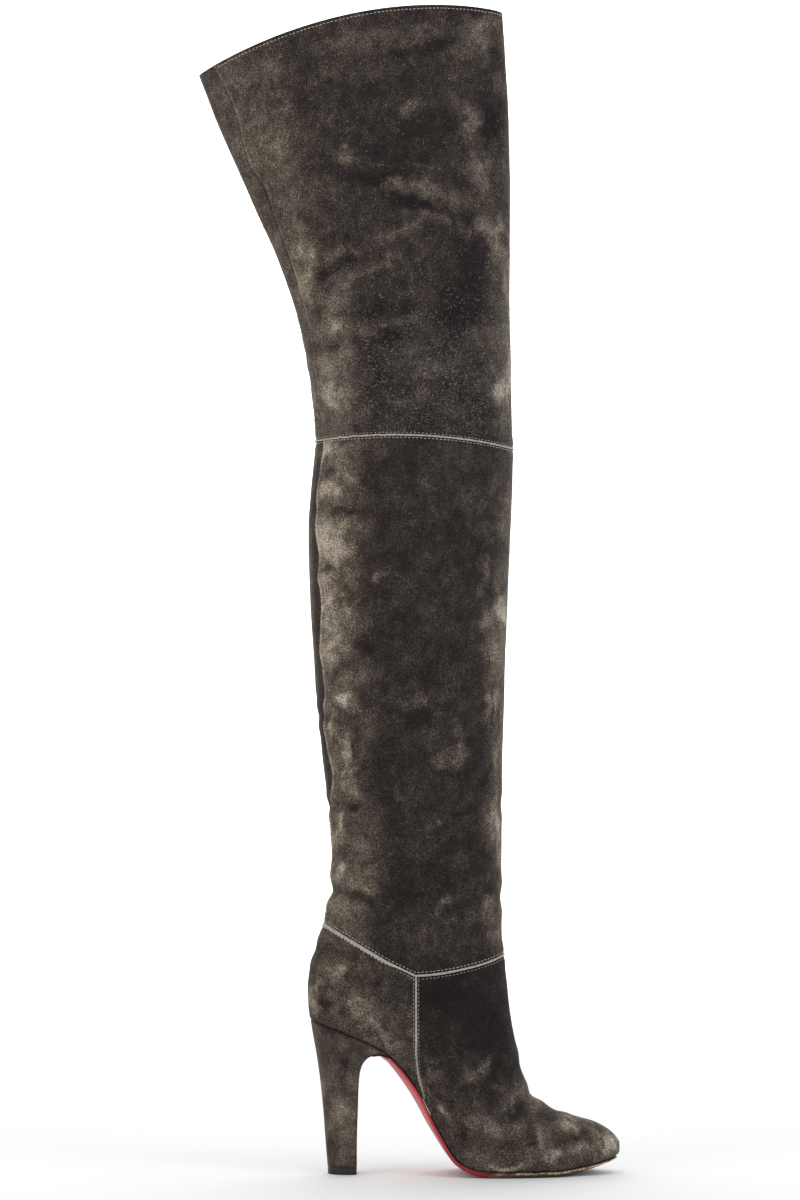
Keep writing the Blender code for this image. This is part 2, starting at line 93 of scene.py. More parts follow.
ANKLE_HALF_WIDTHS = [(0.0, 29.0), (0.5, 31.5), (1.0, 29.0)]
HEEL_SWELL = [(0.0, 1.0), (0.1, 1.0), (0.38, 0.0), (1.0, 0.0)]
BALL_SWELL = [(0.0, 0.0), (0.35, 0.0), (0.68, 1.0), (1.0, 1.0)]

Shaft = namedtuple("Shaft", "back_x back_z front_x front_z half_width vee arch power")
LEG = [
    Shaft(-57.2, 167.0, 63.0, 146.0, 31.0, 1.00, 0.0, 1.00),
    Shaft(-55.0, 178.0, 61.6, 161.0, 31.4, 0.75, 0.0, 1.00),
    Shaft(-52.2, 190.0, 61.3, 177.5, 32.0, 0.45, 0.0, 1.00),
    Shaft(-52.4, 208.0, 61.3, 201.0, 33.2, 0.20, 0.0, 1.00),
    Shaft(-54.2, 238.5, 61.6, 236.0, 36.0, 0.05, 0.0, 1.00),
    Shaft(-58.6, 279.0, 62.3, 278.0, 40.0, 0.00, 0.0, 1.00),
    Shaft(-62.6, 319.0, 63.2, 319.0, 43.5, 0.00, 0.0, 1.00),
    Shaft(-65.4, 362.5, 64.7, 362.5, 46.5, 0.00, 0.0, 1.00),
    Shaft(-67.3, 399.0, 66.3, 399.0, 48.0, 0.00, 0.0, 1.00),
    Shaft(-68.0, 429.5, 67.7, 429.0, 48.5, 0.00, 1.0, 1.00),
    Shaft(-66.3, 456.3, 68.7, 455.0, 48.0, 0.00, 2.5, 1.00),
    Shaft(-62.8, 489.0, 69.2, 483.7, 47.0, 0.00, 5.0, 1.00),
]
THIGH = [
    Shaft(-62.8, 489.0, 69.2, 483.7, 47.0, 0.00, 5.0, 1.00),
    Shaft(-64.7, 513.0, 68.2, 508.0, 46.3, 0.00, 5.0, 1.00),
    Shaft(-68.0, 540.0, 68.0, 538.0, 45.0, 0.00, 5.5, 1.00),
    Shaft(-75.4, 573.0, 67.0, 580.0, 42.8, 0.00, 6.5, 0.98),
    Shaft(-88.1, 610.0, 67.3, 630.0, 40.0, 0.00, 8.5, 0.96),
    Shaft(-101.5, 640.5, 67.3, 667.0, 37.6, 0.00, 10.5, 0.94),
    Shaft(-114.9, 670.7, 66.3, 705.0, 35.4, 0.00, 12.5, 0.92),
    Shaft(-128.3, 701.0, 64.5, 741.0, 33.4, 0.00, 14.8, 0.90),
    Shaft(-141.0, 733.7, 62.0, 776.5, 31.5, 0.00, 17.0, 0.88),
]

Heel = namedtuple("Heel", "back_x back_z front_x front_z half_width seat")
HEEL = [
    Heel(-54.9, 5.0, -35.6, 5.0, 12.3, 0.0),
    Heel(-56.3, 22.0, -35.6, 22.0, 12.9, 0.0),
    Heel(-57.8, 42.0, -35.0, 42.0, 14.3, 0.0),
    Heel(-59.6, 60.0, -34.5, 60.0, 16.7, 0.0),
    Heel(-61.3, 73.0, -33.6, 69.0, 18.9, 0.0),
    Heel(-62.9, 83.0, -31.2, 75.4, 20.8, 0.1),
    Heel(-64.3, 90.5, -26.8, 79.2, 22.2, 0.3),
    Heel(-65.4, 97.0, -20.5, 80.4, 23.4, 0.65),
    Heel(-66.3, 102.7, -14.4, 79.0, 24.3, 1.0),
]
HEEL_LIP_ROWS = HEEL[-3:]

SideSeam = namedtuple("SideSeam", "row x")
SIDE_SEAM = [
    SideSeam(13.0, 3.0),
    SideSeam(9.0, 3.0),
    SideSeam(5.0, 3.3),
    SideSeam(2.5, 4.6),
    SideSeam(0.4, 9.6),
]

# Layers of the wall and fineness of the grids
SUEDE_DEPTH = 1.3
LINING_START = 1.4
UPPER_ROWS, UPPER_COLUMNS = 150, 340
UPPER_PLACES = np.linspace(0, len(UPPER) - 1, UPPER_ROWS)
LEG_ROWS, LEG_COLUMNS = 250, 290
THIGH_ROWS, THIGH_COLUMNS = 250, 330
BACK_ROW_STEP = 7
LINING_ROW_STEP, LINING_COLUMN_STEP = 5, 2
CUT_ROWS = 8
COLLAR_RIM_STEPS = 6
ANGLE_STEPS = 3601
ROW_STEPS = 400
SHARP_DEG = 50

# Layers of soft noise: strength, size of the lumps and seed
Lumps = namedtuple("Lumps", "strength size seed")
NAP_WARP_X = [Lumps(4.9, 13.0, 11), Lumps(3.15, 4.6, 12)]
NAP_WARP_Z = [Lumps(4.9, 13.0, 13), Lumps(3.15, 4.6, 14)]
NAP_CLOUDS = [Lumps(0.05, 27.0, 21), Lumps(0.045, 11.0, 22), Lumps(0.04, 4.6, 23)]
BAND_WARP = [Lumps(0.06, 16.0, 15)]
RIPPLE = [Lumps(0.22, 31.0, 31), Lumps(0.09, 9.0, 32)]
CORD_FRAY = [Lumps(0.12, 3.1, 41), Lumps(0.08, 1.3, 42)]
SIDE_CORD_FRAY = [Lumps(0.1, 1.9, 43)]
FLAP_FRAY = [Lumps(0.25, 1.7, 44)]
CORD_WANDER = [Lumps(1.0, 2.6, 45)]
CORD_SWELL = [Lumps(0.25, 1.1, 46)]
SWELL_CELLS = 32

# Soft ridges and troughs: height, distance from an edge or seam, and half width
Ridge = namedtuple("Ridge", "height at width")
EDGE_ROLL = [Ridge(-0.3, 0.0, 0.8), Ridge(0.28, 4.2, 2.6)]
STITCH_DENT = [Ridge(-0.14, 0.0, 0.6)]
FEATHER_ROLL = [Ridge(-0.5, 0.0, 1.0)]
THIGH_SEAM = [Ridge(0.35, 2.2, 2.0), Ridge(-0.45, 0.0, 0.7), Ridge(-0.3, -3.0, 4.0)]

# The same for lighter and darker tone of the nap; the rows marked below are painted light and shade
# Painted shade where a panel's edge rolls in at a seam, and where the upper tucks in at the sole
EDGE_PAINTED_SHADE = [Ridge(-0.06, 0.0, 1.2)]
FEATHER_PAINTED_SHADE = [Ridge(-0.1, 0.0, 0.9)]
# Painted highlight on the thigh's seam ridge, painted shade in its trough
THIGH_SEAM_PAINTED_LIGHT = [Ridge(0.16, 0.9, 0.8), Ridge(-0.08, -0.8, 0.9)]
COLLAR_SHADE = [Ridge(-0.07, 0.0, 0.9)]
COLLAR_RIM_SHADE = -0.04
# Painted highlight on the lapped panel's edge, painted shadow on the low strip behind it, and painted light
# and shade on the puckers
PANEL_PAINTED_HIGHLIGHT = [Ridge(0.25, 1.6, 1.6)]
STRIP_PAINTED_SHADOW = [Ridge(-0.30, -4.0, 7.0), Ridge(-0.10, 0.0, 1.2)]
PUCKER_PAINTED_LIGHT = [Ridge(0.07, 6.0, 13.0)]
# Darker near the heel's foot; painted shade under the upper at the heel's top
HEEL_FOOT_SHADE = [Ridge(-0.10, 0.0, 1.5)]
HEEL_SEAT_PAINTED_SHADE = [Ridge(-0.12, 0.0, 1.2)]

# The same for grid columns that crowd together, in degrees round a ring
BACK_CROWD = [Ridge(3.2, 19.0, 12.0)]
SIDE_CROWD = [Ridge(1.5, 80.0, 15.0), Ridge(1.5, 280.0, 15.0)]

# The back seam: how far round the leg it lies at each height, in degrees from the back
Track = namedtuple("Track", "z turn")
SEAM_TRACK = [
    Track(160, 3.0), Track(189, 4.5), Track(228, 9.0), Track(245, 12.4), Track(254, 18.1),
    Track(268, 24.2), Track(286, 19.5), Track(305, 18.5), Track(320, 24.6), Track(336, 22.3),
    Track(351, 20.6), Track(368, 24.2), Track(381, 26.5), Track(399, 23.0), Track(414, 25.3),
    Track(435, 20.8), Track(468, 20.4), Track(484, 23.2), Track(492, 20.4), Track(533, 17.7),
    Track(551, 20.0), Track(577, 22.3), Track(602, 23.6), Track(626, 24.5), Track(653, 27.7),
    Track(669, 23.3), Track(703, 28.8), Track(740, 23.9),
]
LAP_RISE = 0.7
LAP_STEP = 1.3
LAP_PANEL = [Ridge(1.0, LAP_STEP, 17.0)]
LAP_STRIP = [Ridge(1.0, 0.0, 12.0)]

# Puckers ahead of the back seam on the lower shaft: bulges and hollows by height
Pucker = namedtuple("Pucker", "z rise")
PUCKERS = [
    Pucker(165, 0.0), Pucker(183, 0.5), Pucker(203, 0.5), Pucker(214, -0.4), Pucker(230, 0.4),
    Pucker(245, -0.6), Pucker(262, 0.6), Pucker(284, 0.2), Pucker(297, 0.6), Pucker(306, -0.4),
    Pucker(317, 0.7), Pucker(338, -0.6), Pucker(348, 0.5), Pucker(357, -0.3), Pucker(368, 0.6),
    Pucker(381, 0.8), Pucker(390, -0.2), Pucker(397, 0.5), Pucker(404, -0.8), Pucker(420, 0.9),
    Pucker(431, 0.5), Pucker(441, -0.9), Pucker(454, 0.8), Pucker(467, -0.7), Pucker(482, 0.3),
]
PUCKER_SHARE = 0.7
PUCKER_PANEL = [Ridge(1.0, 5.0, 15.0)]
PUCKER_STRIP = [Ridge(0.4, 5.0, 10.0)]

# Creases: a path of (x, z) points, the trough's half width and depth, the lips' height beside it,
# and how much lower the same crease lies on the inner side
Crease = namedtuple("Crease", "path width depth lip lower")
CREASES = {
    "thigh": [
        Crease([(39, 634), (29, 642), (12, 646), (-4, 648), (-21, 654), (-42, 657)], 4.5, 1.1, 0.9, 22),
        Crease([(-64, 620), (-46, 622), (-26, 627)], 4.5, 0.8, 0.5, 15),
        Crease([(-65, 588), (-60, 597), (-49, 604), (-37, 607), (-22, 612)], 4.0, 1.1, 0.7, -9),
        Crease([(-44, 572), (-26, 574), (-8, 579), (9, 581)], 5.0, 0.9, 0.55, 6),
        Crease([(-64, 549), (-34, 554), (0, 556), (24, 566)], 5.0, 0.6, 0.4, 6),
        Crease([(-60, 531), (-30, 526), (2, 526), (30, 534)], 6.0, 0.7, 0.42, -6),
    ],
    "leg": [
        Crease([(-66, 193), (-50, 189), (-38, 187), (-20, 181)], 5.0, 1.3, 0.8, 0),
        Crease([(-66, 247), (-44, 245), (-30, 249)], 3.4, 1.1, 0.7, 4),
        Crease([(-64, 306), (-46, 305), (-30, 301)], 4.0, 0.7, 0.56, -11),
        Crease([(70, 183), (50, 186), (24, 178), (4, 182)], 5.0, 0.98, 0.56, 8),
        Crease([(70, 250), (48, 243), (26, 240)], 5.0, 0.56, 0.42, -12),
    ],
    "foot": [
        Crease([(82, 53), (72, 45), (60, 37), (50, 34)], 4.0, 1.0, 0.6, 0),
        Crease([(98, 42), (84, 37), (72, 29)], 3.6, 0.6, 0.4, 2),
        Crease([(76, 72), (58, 66), (44, 58), (28, 56)], 5.0, 0.6, 0.4, -4),
        Crease([(-66, 150), (-44, 147), (-26, 141)], 4.5, 0.6, 0.4, 0),
    ],
}
CREASE_STEPS = 28
CREASE_FADE_START = 0.45
CREASE_LIP_AT = 1.9
# Painted light on the folds: lighter on the crease lips, painted shade in the troughs
CREASE_PAINTED_LIGHT = 0.1

# Nap brushed light or dark: centre, reach along and across, tilt in degrees, and strength
Patch = namedtuple("Patch", "x z along across tilt nap")


def patches(*rows):
    return [Patch(*row) for row in rows]


NAP_PATCHES = {
    "thigh": patches(
        (-14, 678, 36, 26, 0, -0.08), (-50, 541, 20, 9, 80, 0.1), (-55, 512, 17, 9, 95, 0.08),
        (62, 516, 18, 4, 95, 0.1), (63, 550, 16, 4, 88, 0.06), (-54, 529, 34, 10, 92, 0.05),
        (58, 526, 30, 9, 90, 0.16), (62, 583, 34, 5, 90, 0.06), (-97, 697, 63.5, 17.5, -63, 0.06),
        (-97, 690, 16, 9.5, -60, 0.04), (-79, 723, 13.5, 16, 0, -0.06), (-39, 751, 27, 8.5, 5, 0.11),
        (-1, 757, 27, 6.5, 3, 0.1), (-10, 747, 14.5, 4.5, 5, -0.11), (17, 751, 14.5, 5.5, 0, -0.18),
        (43, 765, 12, 8, 0, 0.24), (46, 753, 8, 6, 0, 0.16), (58, 741, 8, 10.5, 0, -0.18),
        (32, 747, 9.5, 6.5, 0, 0.19), (-41, 731, 27, 8.5, 0, 0.08), (-49, 720, 8.5, 6.5, 0, -0.09),
        (-28, 718, 8.5, 6.5, 0, -0.11), (-1, 709, 9.5, 5.5, 20, 0.18), (36, 711, 6.5, 9.5, 0, 0.15),
        (40, 697, 6, 13.5, 0, 0.2), (56, 699, 6.5, 19, 0, -0.25), (24, 696, 8.5, 14.5, 0, -0.14),
        (-43, 673, 11.5, 4, 0, 0.16), (-10, 658, 16, 4, 0, 0.18), (10, 656, 10, 3.5, -20, 0.18),
        (25, 645, 10.5, 3.5, -40, 0.16), (-1, 646, 19, 4.5, -6, -0.18), (-27, 663, 13.5, 4.5, 5, -0.15),
        (47, 671, 8, 10.5, 0, 0.2), (51, 654, 8, 10, 0, 0.2), (-80, 651, 6.5, 10, 0, 0.08),
        (-90, 670, 11.5, 6.5, 0, -0.06), (-71, 610, 14.5, 7.5, -68, 0.2), (-68, 590, 12.5, 6, -78, 0.2),
        (-77, 623, 5.5, 6.5, 0, -0.1), (-61, 594, 4, 12, 0, -0.16), (-61, 572, 4, 8.5, 0, -0.14),
        (-54, 566, 6, 5.5, 0, 0.24), (-43, 550, 5.5, 7.5, 0, 0.19), (-56, 542, 5.5, 8, 0, 0.16),
        (-48, 522, 10, 11.5, 0, 0.26), (-52, 511, 6, 5.5, 0, 0.16), (-53, 551, 3.5, 5.5, 0, -0.12),
        (-25, 519, 8.5, 29.5, 0, -0.1), (-46, 590, 11.5, 2.5, 24, 0.13), (-21, 602, 16, 4, 24, 0.18),
        (-7, 626, 20, 4.5, 24, 0.16), (-51, 581, 9.5, 4, 30, 0.12), (-29, 562, 11.5, 2.5, 15, 0.16),
        (1, 571, 14, 4.5, 38, 0.15), (11, 533, 21, 6, 25, 0.12), (-2, 516, 14.5, 4, 30, 0.14),
        (45, 559, 9.5, 12, 0, 0.12), (32, 576, 16, 14, 0, -0.19), (42, 604, 12.5, 16, 0, -0.19),
        (-16, 573, 14.5, 4.5, 10, -0.14), (-13, 556, 6.5, 4, 0, -0.12), (-48, 603, 10, 2.5, 30, -0.13),
        (-11, 591, 12, 3.5, 15, -0.11), (56, 622, 5.5, 17.5, 0, 0.22), (65, 596, 3.5, 17.5, 0, 0.22),
        (66, 538, 4.5, 14.5, 0, 0.4), (58, 525, 6, 8, 0, 0.25), (49, 631, 8.5, 10, 0, 0.18),
        (51, 511, 8, 6, 0, -0.12),
    ),
    "leg": patches(
        (60, 383, 60, 4, 90, 0.03), (59, 276, 60, 4, 90, 0.03), (25, 290, 26, 15, 60, 0.04),
        (55, 356, 40, 6, 90, 0.06), (53, 270, 34, 6, 90, 0.05), (0, 197, 45, 16, 0, -0.05),
        (-39, 270, 36, 9, 90, -0.08), (-56, 483, 5.5, 6, 0, 0.2), (-54, 454, 6, 6, 0, 0.3),
        (-59, 430, 4.5, 9.5, 0, 0.3), (-53, 418, 8, 8.5, 0, 0.3), (-48, 411, 9.5, 5.5, 0, 0.17),
        (-55, 397, 5.5, 4.5, 0, 0.22), (-50, 381, 5.5, 10.5, 0, 0.32), (-53, 367, 5.5, 8, 0, 0.28),
        (-51, 349, 6, 9.5, 0, 0.23), (-48, 471, 4, 10, 12, 0.17), (-42, 430, 5.5, 6, 0, 0.17),
        (-39, 462, 5.5, 6.5, 0, 0.11), (-53, 467, 4, 4, 0, -0.2), (-48, 440, 8, 3.5, 5, -0.25),
        (-52, 403, 4.5, 2.5, 0, -0.26), (-42, 388, 4.5, 5.5, 0, -0.19), (-34, 354, 6.5, 5.5, 0, -0.13),
        (-42, 338, 8, 4.5, 0, -0.16), (-22, 399, 4, 3.5, 0, 0.34), (40, 447, 10.5, 10.5, 0, 0.1),
        (53, 460, 4, 7.5, 0, 0.16), (52, 403, 4, 8, 0, 0.26), (46, 388, 5.5, 4.5, 20, 0.18),
        (61, 374, 5.5, 8, 0, 0.32), (51, 367, 4.5, 5.5, 0, 0.13), (52, 349, 4, 12, 0, 0.18),
        (55, 385, 4, 4, 0, -0.16), (-44, 316, 6, 5.5, 0, 0.35), (-51, 296, 4, 5.5, 0, 0.3),
        (-42, 284, 2.5, 8.5, 8, 0.35), (-40, 271, 3.5, 5.5, 0, 0.3), (-38, 258, 5.5, 6.5, 0, 0.26),
        (-43, 246, 6.5, 3.5, 0, -0.23), (-50, 238, 2.5, 8, 0, 0.28), (-51, 223, 4, 5.5, 0, 0.26),
        (-46, 205, 4, 6.5, 30, 0.35), (-33, 190, 9.5, 2.5, -8, 0.13), (-40, 216, 8, 4, 0, -0.12),
        (-36, 185, 7.5, 3.5, -10, -0.17), (4, 316, 9.5, 6, 0, 0.19), (32, 283, 5.5, 9.5, 0, 0.27),
        (19, 276, 8, 5.5, 0, 0.2), (16, 236, 6.5, 4, 0, 0.15), (31, 211, 10.5, 5.5, 0, 0.15),
        (24, 180, 12, 3.5, 28, 0.19), (4, 306, 10.5, 6.5, 0, -0.15), (32, 239, 8, 2.5, 0, -0.19),
        (27, 190, 16, 5.5, 0, -0.15), (55, 314, 4, 12, 0, 0.28), (60, 278, 2.5, 9.5, 0, 0.19),
        (59, 234, 3.5, 11.5, 0, 0.37), (59, 208, 3.5, 9.5, 0, 0.28), (53, 185, 3.5, 5.5, 0, 0.17),
    ),
    "foot": patches(
        (135, 20, 6, 8, 90, 0.1), (120, 34, 14, 5, -25, 0.04), (128, 22, 9, 11, 60, 0.11),
        (95, 20, 30, 9, 0, 0.04), (-48, 136, 8, 5.5, 0, 0.17), (-33, 113, 9.5, 5.5, 0, 0.22),
        (-64, 124, 2.5, 8, 0, 0.25), (-62, 114, 3.5, 5.5, 0, 0.24), (-26, 98, 10.5, 4, -25, 0.24),
        (-12, 90, 6.5, 4, -30, 0.2), (-24, 131, 6, 4.5, 0, -0.18), (-57, 115, 3.5, 4, 0, -0.21),
        (23, 122, 17.5, 16, 0, -0.15), (48, 104, 12, 17, 0, -0.12), (55, 73, 6.5, 4, 30, -0.18),
        (14, 73, 7.5, 3.5, -42, 0.21), (47, 76, 8, 2.5, 45, 0.18), (42, 69, 10.5, 5.5, 0, 0.18),
        (11, 61, 2.5, 8.5, 0, 0.21), (20, 44, 3.5, 10, 20, 0.27), (54, 31, 8, 4.5, 0, 0.23),
        (42, 34, 6, 4.5, 0, 0.2), (65, 9, 11.4, 2, 0, 0.45), (84, 28, 3.5, 6.5, 20, 0.27),
        (107, 34, 6.5, 5.5, 0, 0.29), (94, 16, 6, 4, 0, 0.34), (112, 17, 8, 5.5, 0, 0.27),
        (134, 19, 4, 8, 0, 0.38), (81, 49, 6.5, 3.5, -35, 0.27), (69, 47, 2.5, 4, 0, 0.24),
        (72, 41, 4.5, 5.5, 30, -0.18), (112, 26, 9.5, 4, -10, -0.15), (79, 21, 6.5, 4, 0, -0.15),
        (35, 28, 6.5, 5.5, 0, -0.18), (54, 52, 6.5, 5.5, 0, -0.15),
    ),
    "heel": patches(
        (-47, 84, 16, 14, 0, -0.1), (-46, 30, 24, 10, 90, 0.06), (-52, 18, 4.5, 9.5, 0, -0.16),
        (-42, 76, 5.5, 5.5, 0, -0.21), (-46, 42, 5.5, 10.5, 0, 0.13), (-55, 97, 6.5, 5.5, 0, -0.13),
        # The last row is painted shade under the upper's edge near the heel's breast
        (-26, 86, 11, 5, -25, -0.14),
    ),
}

# Small rubbed marks on the thigh, sharper than the brushed nap
SCUFFS = patches(
    (-45, 683, 2.4, 1.8, 0, 0.32), (-44, 674, 9, 3.5, -8, 0.1), (-14, 696, 4.5, 0.8, -30, 0.16),
    (-10, 692, 2.2, 0.7, -80, 0.12), (-22, 671, 6.5, 0.8, -4, 0.2), (11, 670, 9, 0.9, -9, 0.14),
    (4, 657, 15, 1.2, -6, 0.08), (12, 669, 4, 1.4, -40, 0.08), (-5, 709, 7, 1.6, 50, 0.07),
    (-1, 714, 5, 1.2, 20, 0.06),
)

# The nap of the inner side, set lower, and the soft change between the sides
INNER_NAP_DROP = {"thigh": 41.0, "leg": 57.0, "foot": 0.0, "heel": 14.0}
SIDE_CHANGE = (-0.3, 0.12)
HEEL_SIDE_CHANGE = (-6.0, 3.0)
PATCH_POWER = 1.3

# Base nap from the back to the front of a ring, and up the vamp. Round the shafts, the lighter
# back and front are partly brushed nap and partly painted rim light
THIGH_NAP_AND_RIM_LIGHT = [(0.0, 0.36), (0.08, 0.38), (0.22, 0.31), (0.32, 0.215), (0.86, 0.215), (1.0, 0.34)]
LEG_NAP_AND_RIM_LIGHT = [(0.0, 0.41), (0.06, 0.47), (0.2, 0.41), (0.34, 0.205), (0.86, 0.205), (0.97, 0.40), (1.0, 0.42)]
COUNTER_NAP = 0.34
VAMP_NAP = [(0.0, 0.42), (30.0, 0.33), (62.0, 0.26), (85.0, 0.15), (150.0, 0.13)]
VAMP_CHANGE = 1.0
HEEL_NAP = 0.43
BACK_NAP = 0.4
SUEDE_GRAIN = 0.95
HEEL_GRAIN = 0.64

# The mix node's colour sockets by number, because other sockets share their names
MIX_FIRST, MIX_SECOND, MIX_RESULT = 6, 7, 2

# Piping
CORD_HALF_WIDTH = 0.75
CORD_RISE = 0.7
CORD_DEPTH = 1.2
CORD_POWER = 0.7
CORD_CLEARANCE = 0.06
SEAM_SLOT = CORD_HALF_WIDTH + CORD_CLEARANCE
PIPING_COLUMNS = 1080
PIPING_SIDES = 10
CREST_START = 0.2
KNEE_RIDGE = 0.6
KNEE_PIPING_DROP = 0.1
ANKLE_PIPING_DROP = 0.3
FLAP_REACH = 0.45
FLAP_TEETH = 1.35
FLAP_LIFT = 0.35
FLAP_START = -0.1
FLAP_CHANGE = (0.18, 0.36)
TOOTH_PITCH = 2.7
SIDE_PIPING_RISE = 1.1
SIDE_PIPING_DEPTH = 0.9
SIDE_PIPING_ROWS = (0.55, math.inf)
SIDE_PIPING_TAPER_ROWS = 16
SIDE_PIPING_END_SHARE = 0.45

# Stitches: distances from the seams, sizes, chance shifts, and where they run, in degrees from the back
COLLAR_STITCH = 2.0
KNEE_STITCH = 0.85
ANKLE_STITCH = 1.4
SIDE_STITCH = 1.7
STITCH_PITCH = 2.65
STITCH_LENGTH = 1.75
STITCH_RADIUS = 0.24
FINE_STITCH_RADIUS = 0.16
STITCH_SHIFT = 0.12
STITCH_SWAY = 0.1
STITCH_STRETCH = (0.9, 1.1)
STITCH_START = 3.0
STRIP_TURNS = (-4.0, 26.0)
FLAP_TURN = 76.0
SIDE_STITCH_ROWS = (0.9, 12.75)
THREAD_SHARES = np.array([-0.5, -0.36, 0.0, 0.36, 0.5])
THREAD_LIFTS = np.array([-0.28, 0.06, 0.2, 0.06, -0.28])
THREAD_GIRTHS = np.array([0.55, 0.95, 1.0, 0.95, 0.55])
THREAD_SIDES = 6

# Loose hairs of the nap, thickest in a band above the knee
HAIR_COUNT = 15000
HAIR_BAND = [Ridge(1.0, 525.0, 46.0)]
HAIR_LEAST = 0.10
HAIR_LENGTHS = (1.0, 2.8)
HAIR_RADII = (0.04, 0.10)
HAIR_CURL = 0.45
HAIR_MIDDLE = 0.5
HAIR_LIFT = 0.22
HAIR_TIP_LIFT = HAIR_LIFT / 2
HAIR_SCATTER = 0.5

# Heel and tip: the tip's levels are heights and how much smaller the ring is there
HEEL_ROWS = 80
HEEL_SIDE_POINTS = 56
HEEL_BREAST_POINTS = 14
HEEL_CORNER_RADIUS = 2.0
TIP_LEVELS = [(0.0, 0.9), (0.25, 0.35), (0.7, 0.1), (2.4, 0.1), (4.3, 0.1), (4.7, 0.3)]

# Sole: it lies closer under the upper than in the CAD, and its thin back end reaches further
SOLE_GAP = 0.06
SOLE_END_X = -25.5
SOLE_FULL_X = -14.0
SOLE_END_SHARE = 0.06
SOLE_TOE_GAP = 0.02
SOLE_STATIONS = 190
SOLE_START_TURN = 0.25
SOLE_UNDER_POINTS = 41
SOLE_SIDE_POINTS = 7
SOLE_CORNER = 0.7
SOLE_CORNER_OF_EDGE = 0.4
SOLE_CORNER_OF_HALF = 0.5
SOLE_CORNER_STEPS = 4
SOLE_SHARP_DEG = 40
SOLE_BLACK_LINE = 0.5
SOLE_DIRT_LINE = 1.8

# Where the sole's red darkens with painted shadow and where it is worn, in metres along the foot
SOLE_SHADOW_START_X = 0.012
TREAD_START_X = 0.050
TREAD_FULL_X = 0.066

# Studio, in metres and watts
FRAME_HEIGHT = 0.803
CAMERA_DISTANCE = 3.4
CAMERA_HEIGHT = 0.35
CAMERA_AZIMUTH = -2.0
CAMERA_AIM = Vector((-0.0065, 0.0, 0.383))
SENSOR = 36.0
STAGE_HALF_WIDTH = 40.0
WALL_Y = 7.5
WALL_HEIGHT = 7.0
WALL_GLOW = 1.1
FLOOR_GLOW = 0.75
GLOW_START, GLOW_FULL = 0.9, 2.4
WHITE = (1.0, 1.0, 1.0, 1.0)
FLOOR_WHITE = (0.71, 0.71, 0.71, 1.0)
WALL_WHITE = (0.9, 0.9, 0.9, 1.0)
WORLD_STRENGTH = 0.5
Light = namedtuple("Light", "name place size power tint")
LIGHTS = [
    Light("left_bank", (-1.9, -1.5, 1.0), (1.2, 1.8), 16.4, (1.0, 0.945, 0.865)),
    Light("right_bank", (1.9, -1.5, 1.0), (1.2, 1.8), 17.4, (0.855, 0.93, 1.0)),
    Light("back_bank", (0.0, 2.6, 1.6), (5.0, 3.2), 52.0, (1.0, 1.0, 1.0)),
    Light("overhead", (0.0, -0.3, 2.6), (2.4, 2.4), 26.0, (1.0, 1.0, 1.0)),
]
LIGHT_AIM = Vector((0.0, 0.0, 0.4))


# Shape functions shared with the CAD


def smooth(xs, ys, at):
    """A curve through the points (xs, ys) that never swings past them, read at one or many places."""
    xs, ys, at = (np.asarray(v, float) for v in (xs, ys, at))
    steps = np.diff(xs)
    rises = np.diff(ys) / steps
    slopes = np.zeros_like(ys)
    slopes[0], slopes[-1] = rises[0], rises[-1]
    for i in range(1, len(xs) - 1):
        before, after = rises[i - 1], rises[i]
        if before * after > 0:
            ahead, behind = 2 * steps[i] + steps[i - 1], steps[i] + 2 * steps[i - 1]
            slopes[i] = (ahead + behind) / (ahead / before + behind / after)
    i = np.clip(np.searchsorted(xs, at) - 1, 0, len(steps) - 1)
    h = steps[i]
    s = np.clip((at - xs[i]) / h, 0.0, 1.0)
    start = (1 + 2 * s) * (1 - s) ** 2 * ys[i] + s * (1 - s) ** 2 * h * slopes[i]
    end = s * s * (3 - 2 * s) * ys[i + 1] - s * s * (1 - s) * h * slopes[i + 1]
    return start + end


def curve(pairs, at):
    """The same through a list of (x, y) pairs."""
    return smooth(*zip(*pairs), at)


def column(table, name):
    return np.array([getattr(row, name) for row in table], float)


def between(table, at):
    """The table's row at a fractional row number."""
    rows = np.arange(len(table))
    return type(table[0])(*(float(smooth(rows, column(table, f), at)) for f in table[0]._fields))


TOE_X, HEEL_X = SOLE[-1].x, SOLE[0].x
FOOT_LENGTH = TOE_X - HEEL_X


def sole_z(x):
    return smooth(column(SOLE, "x"), column(SOLE, "z"), x)


def sole_sag(x):
    """How far the sole lies below the straight line from the back of its heel to its toe."""
    x = np.clip(x, HEEL_X, TOE_X)
    return sole_z(x) - SOLE[0].z - (SOLE[-1].z - SOLE[0].z) * (x - HEEL_X) / FOOT_LENGTH


def sole_swell(side, t):
    """Half width of the sole at the share t of its length, over that of an ellipse one wide."""
    shares = (column(SOLE, "x") - HEEL_X) / FOOT_LENGTH
    swell = column(SOLE, side)
    swell[1:-1] /= 2 * np.sqrt(shares[1:-1] * (1 - shares[1:-1]))
    swell[0] = math.sqrt(HEEL_END_RADIUS * FOOT_LENGTH / 2)
    swell[-1] = math.sqrt(TOE_END_RADII[side] * FOOT_LENGTH / 2)
    return smooth(shares, swell, t)


def sole_half_width(side, x):
    t = np.clip((np.asarray(x, float) - HEEL_X) / FOOT_LENGTH, 0.0, 1.0)
    return sole_swell(side, t) * 2 * np.sqrt(t * (1 - t))


def vee(t):
    """Drop of the ankle seam below the line from its back to its front point, from 0 to 1."""
    return np.where(t < VEE_FRONT[0][0], curve(VEE_BACK, t), curve(VEE_FRONT, t))


